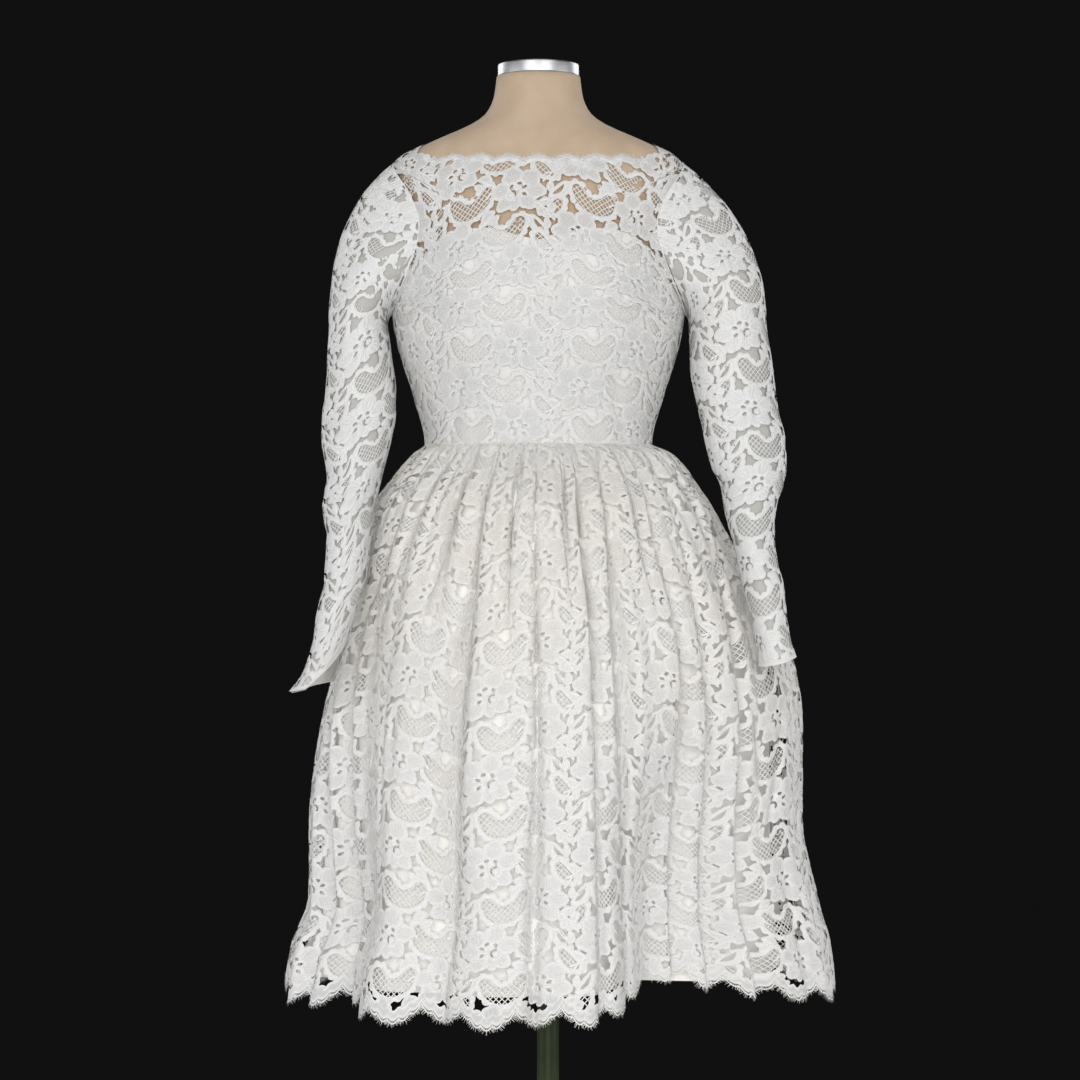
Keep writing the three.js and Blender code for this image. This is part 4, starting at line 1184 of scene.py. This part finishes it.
def tube(name, line, radius, material):
    """Round cord along a closed line."""
    along = unit(np.roll(line, -1, axis=0) - np.roll(line, 1, axis=0))
    level = unit(np.cross(along, NEARLY_UP))
    other = np.cross(along, level)
    turn = full_turn(TUBE_SIDES)
    circle = np.cos(turn)[:, None] * level[:, None] + np.sin(turn)[:, None] * other[:, None]
    rings = line[:, None] + radius * circle
    count = len(line)
    a, b = (index.ravel() for index in np.meshgrid(np.arange(count), np.arange(TUBE_SIDES)))
    after, beside = (a + 1) % count, (b + 1) % TUBE_SIDES
    corners = ((a, b), (a, beside), (after, beside), (after, b))
    faces = np.stack([ring * TUBE_SIDES + side for ring, side in corners], axis=1)
    lengths = np.cumsum(np.linalg.norm(np.diff(line, axis=0, prepend=line[:1]), axis=1)) * MM
    uv = np.stack(np.broadcast_arrays(0.5 * np.cos(turn), lengths[:, None]), axis=-1).reshape(-1, 2)
    piece(name, rings.reshape(-1, 3), faces, material, uv)


def lathe(name, node_name, profile, material, offset):
    """Turned piece about the vertical axis from rows of radius and height."""
    turn = full_turn(LATHE_SEGMENTS)
    radius, z = np.array(profile, float).T
    rings = xyz(radius[:, None] * np.cos(turn), radius[:, None] * np.sin(turn), z[:, None])
    faces = grid_faces(len(profile), LATHE_SEGMENTS, True)
    made = piece(name, rings.reshape(-1, 3), faces, material, offset=offset)
    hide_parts(node_name)


def rounded(profile, radius):
    """Profile with its inner corners rounded."""
    points = np.array(profile, float)
    out = [points[0]]
    share = np.linspace(0, 1, CORNER_STEPS)[:, None]
    for before, at, after in zip(points, points[1:], points[2:]):
        room = min(np.linalg.norm(before - at), np.linalg.norm(after - at))
        reach = min(radius, room / CORNER_SHARE)
        start, end = at + unit(before - at) * reach, at + unit(after - at) * reach
        out.extend((1 - share) ** 2 * start + 2 * share * (1 - share) * at + share ** 2 * end)
    return [*out, points[-1]]


# Making the stand and the form

FORM_ROWS = 120
FORM_COLUMNS = 96
FORM_CLOSING = 0.01


def make_stand():
    rim, hub, low = BASE_RIM_HEIGHT, BASE_HUB_RADIUS, BASE_HUB_HEIGHT
    base = [(AXIS_GAP, 0), (BASE_RADIUS - CHAMFER, 0), (BASE_RADIUS, CHAMFER), (BASE_RADIUS, rim),
            (hub * 2, rim * 2), (hub, rim * 3), (hub, low), (POLE_RADIUS, low), (AXIS_GAP, low)]
    lathe("stand_base_plate", "stand_base", rounded(base, BASE_ROUNDING), ENAMEL, np.zeros(3))
    low, high = BASE_HUB_HEIGHT + SEAM_GAP, FORM_BOTTOM_Z - SEAM_GAP
    pole = [(AXIS_GAP, low), (POLE_RADIUS, low), (POLE_RADIUS, high), (AXIS_GAP, high)]
    lathe("stand_pole_tube", "stand_pole", rounded(pole, POLE_ROUNDING), ENAMEL, np.zeros(3))
    low = NECK_TOP_Z + SEAM_GAP
    high, dish = low + CAP_HEIGHT, low + CAP_HEIGHT - CAP_DISH
    cap = [(AXIS_GAP, low), (CAP_RADIUS - CHAMFER, low), (CAP_RADIUS, low + CHAMFER), (CAP_RADIUS, high),
           (CAP_RADIUS - CAP_RIM, high), (CAP_RADIUS - CAP_LIP, dish), (AXIS_GAP, dish)]
    lathe("form_neck_band", "form_neck_cap", rounded(cap, CAP_ROUNDING), SILVER, FORM_OFFSET)


def make_form():
    z = np.linspace(FORM_BOTTOM_Z, NECK_TOP_Z, FORM_ROWS)
    z = np.concatenate([[FORM_BOTTOM_Z], z, [NECK_TOP_Z]])
    degrees, level = np.meshgrid(np.linspace(-180, 180, FORM_COLUMNS + 1)[:-1], z)
    points = figure_point(degrees, level)
    inset = FORM_EASE * smoothstep(EASE_TOP_Z - level, 0, EASE_TOP_Z - EASE_FULL_Z)
    reach = np.hypot(points[..., 0], points[..., 1])
    share = np.maximum(reach - inset, 1) / reach
    share[[0, -1]] = FORM_CLOSING
    points[..., :2] *= share[..., None]
    flat = np.stack([row_lengths(points, FORM_COLUMNS // 2).ravel(), level.ravel()], axis=1)
    faces = grid_faces(*level.shape, True)
    made = piece("form_linen_cover", points.reshape(-1, 3), faces, LINEN, flat * MM)
    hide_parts("form_torso")


# Making the bodice

NECK_FINISH = Finish(slit=2.6, band=8.5, cords=[(0.8, 1.2), (3.1, 1.2), (8.5, 1.5)], at_top=True, lashes=True)
NECK_SCALLOP = 32
NECK_SCALLOP_DEPTH = 6.5
NECK_SMALL_SCALLOPS = 3
NECK_SMALL_DEPTH = 2.0
NECK_END_DROP = 9
NECK_END_OUT = 0.75
BODICE_PLACE = (23.0, -16.0)
# Grids as columns and rows.
BODICE_LINING_GRID = (97, 61)
FRONT_LACE_GRID = (181, 146)
BACK_LACE_GRID = (79, 146)
PLACKET_GRID = (9, 81)
BACK_OPENING = 0.002
SEAM_STEPS = 240
SEAM_SINK = 1
WAIST_SEAM_RADIUS = 0.8
# Creases of the bodice: flat place, direction, length, width, depth.
BODICE_CREASES = [
    (-70, 18, 70, 70, 7, 1.6), (-98, 30, 75, 110, 9, 2.0), (66, 20, 108, 80, 7, 1.7),
    (96, 34, 104, 120, 9, 2.1), (-30, 12, 84, 46, 6, 1.1), (28, 14, 98, 50, 6, 1.2),
    (-120, 150, 20, 60, 8, 1.5), (122, 150, -20, 60, 8, 1.5), (0, 150, 90, 120, 22, 1.6),
    (-48, 262, 12, 90, 9, 0.9), (50, 260, -10, 90, 9, 0.9),
]


def bodice_panel(side, low_u, high_u, size, lift):
    columns, rows = size
    u, v = grid(low_u, high_u, columns, 0, 1, rows)
    points = bodice_point(side, u, v, lift)
    centre = int(np.argmin(np.abs(u[0])))
    panel = Panel(points, row_lengths(points, centre), column_lengths(points))
    out, along = np.abs(u[0]), np.pi * panel.across[-1] / NECK_SCALLOP
    drop = NECK_SCALLOP_DEPTH * (1 - np.abs(np.cos(along)))
    drop = drop + NECK_SMALL_DEPTH * (1 - np.abs(np.cos(NECK_SMALL_SCALLOPS * along)))
    drop = drop + NECK_END_DROP * smoothstep(out, NECK_END_OUT, 1)
    panel.edge = panel.up[-1] - panel.up - drop
    return panel


def make_bodice():
    columns, rows = BODICE_LINING_GRID
    for side in ("front", "back"):
        degrees, v = grid(-90, 90, columns, 0, 1, rows)
        points = lining_point(side, degrees, v, LINING_LIFT)
        panel = Panel(points, row_lengths(points, columns // 2), column_lengths(points))
        if side == "front":
            panel.crease(BODICE_CREASES)
        plain_sheet(f"bodice_satin_{side}", [f"bodice_lining_{side}"], panel, SHADED_BODICE_SATIN)
    panels = [
        ("front", "front", -1, 1, FRONT_LACE_GRID),
        ("back", "back_left", BACK_OPENING, 1, BACK_LACE_GRID),
        ("back", "back_right", -1, -BACK_OPENING, BACK_LACE_GRID),
    ]
    for side, name, low_u, high_u, size in panels:
        panel = bodice_panel(side, low_u, high_u, size, LACE_LIFT)
        if side == "front":
            panel.crease(BODICE_CREASES)
        panel.across += BODICE_PLACE[0]
        panel.up += BODICE_PLACE[1]
        lace_panel(f"bodice_floral_lace_{name}", [f"bodice_lace_{name}"], panel, (SHADED_TOP_LACE, SHADED_TOP_CORD),
                   NECK_FINISH)
    half = math.degrees(PLACKET_WIDTH / 2 / smooth(FIGURE, "z", "half_width", np.array(BUST_Z))) / 90
    panel = bodice_panel("back", -half, half, PLACKET_GRID, PLACKET_LIFT)
    plain_sheet("back_placket_strip", ["back_placket"], panel, PLACKET_CLOTH)
    turn = np.linspace(-180, 180, SEAM_STEPS + 1)[:-1]
    seam = on_figure(turn, np.full_like(turn, WAIST_Z), LACE_LIFT - SEAM_SINK)
    tube("waist_seam", seam, WAIST_SEAM_RADIUS, SHADED_TOP_CORD)


# Making the sleeves

CUFF_FINISH = Finish(slit=0, band=5, cords=[(0.9, 1.6), (4.8, 1.4)], at_top=False, lashes=False)
SLEEVE_PLACE = (-6.0, 20.0)
# Grids as columns and rows.
SLEEVE_LINING_GRID = (49, 121)
SLEEVE_LACE_GRID = (131, 268)
ARMHOLE_STEPS = 120
ARMHOLE_SEAM_RADIUS = 0.9
# Creases of a sleeve: flat place from the outer line and the cuff, direction, length, width, depth.
SLEEVE_CREASES = [
    (-30, 205, 28, 90, 8, 1.6), (-36, 232, 8, 100, 8, 1.8), (-28, 262, -16, 90, 9, 1.5),
    (32, 214, -24, 80, 8, 1.3), (34, 246, 4, 90, 9, 1.5), (-10, 190, -8, 80, 7, 1.1),
    (-60, 250, -6, 80, 9, 2.0), (60, 230, 8, 80, 9, 1.9), (-20, 120, 24, 70, 7, 0.9),
    (16, 96, -20, 60, 7, 0.8), (-24, 60, 12, 60, 6, 0.7), (-40, 330, -30, 80, 10, 1.1),
    (30, 350, 24, 90, 10, 1.0), (-12, 400, 80, 110, 12, 0.9), (26, 430, 96, 100, 12, 0.8),
]


def sleeve_panel(rows, sign, size, top):
    columns, levels = size
    u, v = grid(0, 1, columns, 0, top, levels)
    points = sleeve_point(rows, sign, u, v)
    points[:, -1] = points[:, 0]
    panel = Panel(points, row_lengths(points, columns // 2), column_lengths(points))
    panel.edge = panel.up.copy()
    panel.crease([(s * sign, t, d * sign, length, w, depth) for s, t, d, length, w, depth in SLEEVE_CREASES])
    panel.points[:, 0] = panel.points[:, -1] = (panel.points[:, 0] + panel.points[:, -1]) / 2
    panel.shape_from(panel.points)
    return panel


def make_sleeves():
    for name, rows, sign in (("left", SLEEVE_LEFT, -1), ("right", SLEEVE_RIGHT, 1)):
        panel = sleeve_panel(rows, sign, SLEEVE_LINING_GRID, SLEEVE_LINING_TOP)
        panel.shape_from(panel.points + SLEEVE_LINING_INSET * panel.normals)
        lining = f"sleeve_cream_lining_{name}"
        plain_sheet(lining, [f"sleeve_lining_{name}"], panel, SLEEVE_SATIN)
        panel = sleeve_panel(rows, sign, SLEEVE_LACE_GRID, 1)
        panel.across += SLEEVE_PLACE[0]
        panel.up += SLEEVE_PLACE[1]
        halves = [f"sleeve_lace_{name}_front", f"sleeve_lace_{name}_back"]
        lace_panel(f"sleeve_floral_lace_{name}", halves, panel, (SHADED_SLEEVE_LACE, SHADED_SLEEVE_CORD),
                   CUFF_FINISH)
        around = np.linspace(0, 1, ARMHOLE_STEPS + 1)[:-1]
        tube(f"armhole_seam_{name}", armhole_point(sign, around), ARMHOLE_SEAM_RADIUS, SHADED_TOP_CORD)


# Making the skirt

HEM_CORDS = [(1.0, 1.4), (4.2, 1.4), (12.2, 1.8)]
HEM_FINISH = Finish(slit=3.6, band=12.5, cords=HEM_CORDS, at_top=False, lashes=True)
HEM_SCALLOP = 60
HEM_SCALLOP_DEPTH = 17
HEM_SMALL_SCALLOPS = 5
HEM_SMALL_DEPTH = 4.5
HEM_SLANT = 0.85
SKIRT_PLACE = (20.0, -46.0)
LEVEL_STEPS = 800
LACE_TURN_STEPS = 720
LINING_TURN_STEPS = 1440
# Bearing of the line along which the cloth's length is measured, from the middle of a panel.
MEASURED_AT = -18
FLAT_LEVEL_Z = 560
# Middles of the skirt's sides in degrees with the cells of their lace.
SKIRT_SIDES = {"front": (0, 2.4), "back": (180, 3.2)}
LINING_CELL = 4.5
LINING_REACH = 1
LINING_GAP = 1.7
BEARING_MARGIN = 1

# Pleats between the main folds, in shares of a pleat where no length is meant.
PLEAT_WIDTHS = (22, 92)
# Wander of the pleats: reach, height and width of a wave.
PLEAT_WANDER = [(4, 150, 90), (2, 63, 41)]
TIGHT_SLOT = 0.22
LOOSE_SLOT = 0.6
TIGHT_ROOM = 0.55
LOOSE_ROOM = 0.9
FOLD_EDGE = 0.2
FOLD_FLOOR = 0.1
DEEPEST_FOLD = 16
LEAST_DEPTH = 0.01
LEAST_CREST = 0.05
FOLD_START = 70
CREST_SINK = 3.5
SEAM_CALM = 25
FOLD_SWELL = 0.35
SWELL_HEIGHTS = (70, 200)
SWELL_PHASES = (0, 6.28)
SHORT_FOLDS = 0.45
SHORT_FOLD_END = (70, 260)
LONG_FOLD_GAIN = 0.5
HEM_LIFT_END = 260

# Sag of the lace between its pleats: height, fade, and waves as share, width and phase.
SAG = 8
SAG_FADE = 170
SAG_WAVES = [(1, 61, 0), (0.7, 37, 2)]

# Soft creases of the skirt, drawn at random.
SKIRT_CREASES = 60
CREASE_MARGIN = 60
CREASE_DIRECTION = 90
CREASE_LEAN = 7
CREASE_LENGTHS = (80, 260)
CREASE_WIDTHS = (4, 8)
CREASE_DEPTHS = (-1.6, 3.2)


def hem_rise(s):
    """Rise of the scalloped hem over its lowest points."""
    main = 1 - np.abs(np.sin(np.pi * s / HEM_SCALLOP))
    small = 1 - np.abs(np.sin(np.pi * HEM_SMALL_SCALLOPS * s / HEM_SCALLOP))
    return HEM_SCALLOP_DEPTH * main + HEM_SMALL_DEPTH * small


def levels_down(rows, degrees, bottom_z, cell):
    """Heights in even steps along the cloth from the hem to the waist, and the cloth's length to each."""
    level = np.linspace(bottom_z, SKIRT_TOP_Z, LEVEL_STEPS)
    drop = column_lengths(skirt_point(rows, np.full_like(level, degrees), level)[:, None])[:, 0]
    up = np.linspace(0, drop[-1], int(drop[-1] / cell) + 1)
    return np.interp(up, drop, level), up


def ring_lengths(rows, turn, level):
    return row_lengths(skirt_point(rows, *np.meshgrid(turn, level)), 0)


def pleat_edges(width):
    """Edges of uneven pleats over a flat width, counted from its middle."""
    count = round(2 * width / sum(PLEAT_WIDTHS))
    edges = np.concatenate([[0], np.cumsum(rng.uniform(*PLEAT_WIDTHS, count))])
    return edges * width / edges[-1] - width / 2


def soft_ramp(value):
    """Zero below nought and straight above it, with a soft start."""
    return (value + np.hypot(value, FOLD_EDGE)) / 2


def sagged(level, across, up):
    """Heights of the lace with a slow sag, which fades at the hem and the waist."""
    sag = SAG * sum(share * np.sin(across / width + phase) for share, width, phase in SAG_WAVES)
    return level + sag * smoothstep(up, 0, SAG_FADE) * (1 - smoothstep(up, up.max() - SAG_FADE, up.max()))


def skirt_creases(reach, height):
    count = SKIRT_CREASES
    return np.column_stack([
        rng.uniform(-reach, reach, count), rng.uniform(CREASE_MARGIN, height - CREASE_MARGIN, count),
        rng.normal(CREASE_DIRECTION, CREASE_LEAN, count), rng.uniform(*CREASE_LENGTHS, count),
        rng.uniform(*CREASE_WIDTHS, count), rng.uniform(*CREASE_DEPTHS, count),
    ])


def gathered_panel(low, high, cell):
    """Lace of the skirt between its side seams, which runs along its crests and dives into folds."""
    turn = np.linspace(low, high, LACE_TURN_STEPS + 1)
    level, flat_t = levels_down(SKIRT_LACE, (low + high) / 2 + MEASURED_AT, HEM_Z - HEM_DROP, cell)
    lengths = ring_lengths(SKIRT_LACE, turn, level)
    width = SKIRT_FULLNESS * lengths[0, -1]
    across, up = np.meshgrid(np.linspace(-width / 2, width / 2, int(width / cell) + 1), flat_t)
    level = level[:, None]

    edges = pleat_edges(width)
    at = across
    for reach, tall, wide in PLEAT_WANDER:
        at = at + reach * np.sin(level / tall + across / wide)
    k = np.clip(np.searchsorted(edges, at) - 1, 0, len(edges) - 2)
    pleat = np.diff(edges)[k]
    place = 2 * (at - edges[k]) / pleat - 1
    from_crest = np.minimum(np.abs(place), 1) * smoothstep(width / 2 - np.abs(across), 0, SEAM_CALM)
    fold = k + (place > 0)
    swell_height = rng.uniform(*SWELL_HEIGHTS, len(edges))[fold]
    swell = np.sin(level / swell_height + rng.uniform(*SWELL_PHASES, len(edges))[fold])
    room = np.minimum(lengths[:, -1:] / width, 1)
    slot = mix(TIGHT_SLOT, LOOSE_SLOT, smoothstep(room, TIGHT_ROOM, LOOSE_ROOM))
    fade = smoothstep(SKIRT_TOP_Z - level, *SHORT_FOLD_END)
    short = (rng.random(len(edges)) < SHORT_FOLDS)[fold]
    strength = np.where(short, 1 - fade, 1 + LONG_FOLD_GAIN * fade) * (1 + FOLD_SWELL * swell)
    crest = 1 - (1 - room) * strength / (1 - slot) + FOLD_EDGE * np.maximum(1 - strength, 0)
    crest = np.maximum(crest, LEAST_CREST)
    rate = 1 - (1 - slot) * smoothstep(from_crest, crest - FOLD_EDGE, crest + FOLD_EDGE)

    run = np.cumsum(rate, axis=1)
    half = lengths[:, len(turn) // 2, None]
    centre = round(half[0, 0] / lengths[0, -1] * (run.shape[1] - 1))
    run = run - run[:, centre, None]
    run = half + np.where(run < 0, run * half / -run[:, :1], run * (lengths[:, -1:] - half) / run[:, -1:])
    degrees = np.array([np.interp(row, length, turn) for row, length in zip(run, lengths)])

    valley = 1 + FOLD_FLOOR - np.hypot(1 - from_crest, FOLD_FLOOR)
    below_waist = smoothstep(SKIRT_TOP_Z - level, 0, FOLD_START)
    deepest = np.maximum(DEEPEST_FOLD * below_waist, LEAST_DEPTH)
    sink = pleat / 2 * (soft_ramp(valley - crest) - soft_ramp(-crest))
    soft_sink = CREST_SINK * below_waist * valley ** 2 * np.minimum(strength, 1)
    sink = deepest * np.tanh(sink / deepest) + soft_sink
    lift = fold_sum(degrees, FOLDS["lift"]) * (1 - smoothstep(up, 0, HEM_LIFT_END))
    z = sagged(level, across, up) + lift
    rise = gather_rise(degrees, z) - sink
    panel = Panel(moved_out(skirt_point(SKIRT_LACE, degrees, z), rise), across, up)
    panel.crease(skirt_creases(width / 2 - SEAM_CALM, up.max()))
    return panel


def around_axis(points, low):
    """Bearing of points about the vertical axis in degrees, from a low one up, and distance from the axis."""
    bearing = np.degrees(np.arctan2(points[..., 0], -points[..., 1]))
    bearing = low + np.mod(bearing - low + BEARING_MARGIN, 360) - BEARING_MARGIN
    return bearing, np.hypot(points[..., 0], points[..., 1])


def lining_panel(low, high, cell, lace):
    """Lining of the skirt, which stays inside the folds of the lace."""
    level, flat_t = levels_down(SKIRT_LINING, (low + high) / 2 + MEASURED_AT, SKIRT_LINING_HEM_Z, 2 * cell)
    fine = np.linspace(low, high, LINING_TURN_STEPS + 1)
    length = ring_lengths(SKIRT_LINING, fine, np.array([FLAT_LEVEL_Z]))[0]
    hung = np.linspace(0, length[-1], int(length[-1] / cell) + 1)
    turn, z = np.meshgrid(np.interp(hung, length, fine), level)
    points = skirt_point(SKIRT_LINING, turn, z)
    column = np.arange(lace.points.shape[1])
    for row in points:
        k = np.clip((lace.points[..., 2] < row[0, 2]).sum(axis=0) - 1, 0, len(lace.points) - 2)
        below, above = lace.points[k, column], lace.points[k + 1, column]
        share = np.clip((row[0, 2] - below[:, 2]) / (above[:, 2] - below[:, 2]), 0, 1)
        bearing, reach = around_axis(mix(below, above, share[:, None]), low)
        own_bearing, own_reach = around_axis(row, low)
        room = np.pad(np.interp(own_bearing, bearing, reach), LINING_REACH, mode="edge")
        room = np.lib.stride_tricks.sliding_window_view(room, 2 * LINING_REACH + 1).min(axis=1)
        row[:, :2] *= (np.minimum(own_reach, room - LINING_GAP) / own_reach)[:, None]
    across, up = np.meshgrid(hung - length[-1] / 2, flat_t)
    return Panel(points, across, up)


def make_skirt():
    for side, (middle, lace_cell) in SKIRT_SIDES.items():
        panel = gathered_panel(middle - 90, middle + 90, lace_cell)
        lining = lining_panel(middle - 90, middle + 90, LINING_CELL, panel)
        plain_sheet(f"skirt_satin_{side}", [f"skirt_lining_{side}"], lining, BRIGHTENED_SATIN)
        panel.edge = HEM_SLANT * (panel.up - hem_rise(panel.across))
        panel.across += SKIRT_PLACE[0]
        panel.up += SKIRT_PLACE[1]
        lace_panel(f"skirt_floral_lace_{side}", [f"skirt_lace_{side}"], panel, (LACE, CORD),
                   HEM_FINISH)


# Making the stage

CAMERA_DISTANCE = 3.5
CAMERA_HEIGHT = 0.955
CAMERA_LENS = 101.45
IMAGE_SIZE = 1080
POLE_PIXEL = 548
FLOOR_RADIUS = 1.7
FLOOR_SIDES = 96
FLOOR_GREY = (0.62, 0.61, 0.59)
STUDIO_DARK = (0.0055, 0.0055, 0.006)
# Soft lights: place, size, power.
LIGHTS = [
    ((-1.3, -3.1, 1.9), 1.9, 38), ((1.3, -3.1, 1.8), 1.9, 37), ((0.0, -3.9, 0.5), 1.6, 39),
    ((0.0, -1.0, 3.4), 2.2, 12), ((-2.9, -0.9, 0.9), 2.4, 25), ((2.9, -0.9, 0.9), 2.4, 25),
    ((-2.3, 2.3, 2.0), 2.0, 36), ((2.3, 2.3, 2.0), 2.0, 36),
]


def facing(vector):
    """Rotation that points an object's -Z along a direction."""
    return Vector(vector).to_track_quat("-Z", "Y").to_euler()


def make_floor():
    turn = full_turn(FLOOR_SIDES)
    mesh = bpy.data.meshes.new("floor")
    ring = np.stack([FLOOR_RADIUS * np.cos(turn), FLOOR_RADIUS * np.sin(turn), 0 * turn], axis=1)
    mesh.from_pydata(ring.tolist(), [], [list(range(FLOOR_SIDES))])
    pale, _, _ = new_material("pale_floor", FLOOR_GREY, roughness=0.85)
    mesh.materials.append(pale)
    floor = bpy.data.objects.new("floor", mesh)
    bpy.context.scene.collection.objects.link(floor)


def make_lights():
    target = np.array([0, 0, CAMERA_HEIGHT])
    for k, (place, size, power) in enumerate(LIGHTS):
        light = bpy.data.lights.new(f"soft_light_{k}", "AREA")
        light.size = size
        light.energy = power
        lamp = bpy.data.objects.new(light.name, light)
        lamp.location = place
        lamp.rotation_euler = facing(target - np.array(place))
        lamp.visible_camera = False
        bpy.context.scene.collection.objects.link(lamp)
    world = bpy.data.worlds.new("dark_studio")
    world.use_nodes = True
    world.node_tree.nodes["Background"].inputs["Color"].default_value = (*STUDIO_DARK, 1)
    bpy.context.scene.world = world
    bpy.context.scene.view_settings.view_transform = "Standard"


def make_camera():
    lens = bpy.data.cameras.new("photo_camera")
    lens.lens = CAMERA_LENS
    lens.shift_x = -(POLE_PIXEL - IMAGE_SIZE / 2) / IMAGE_SIZE
    camera = bpy.data.objects.new("photo_camera", lens)
    camera.location = (0, -CAMERA_DISTANCE, CAMERA_HEIGHT)
    camera.rotation_euler = (math.pi / 2, 0, 0)
    bpy.context.scene.collection.objects.link(camera)
    bpy.context.scene.camera = camera


LACE_REPEAT = Repeat()
make_stand()
make_form()
make_bodice()
make_sleeves()
make_skirt()
make_floor()
make_lights()
make_camera()
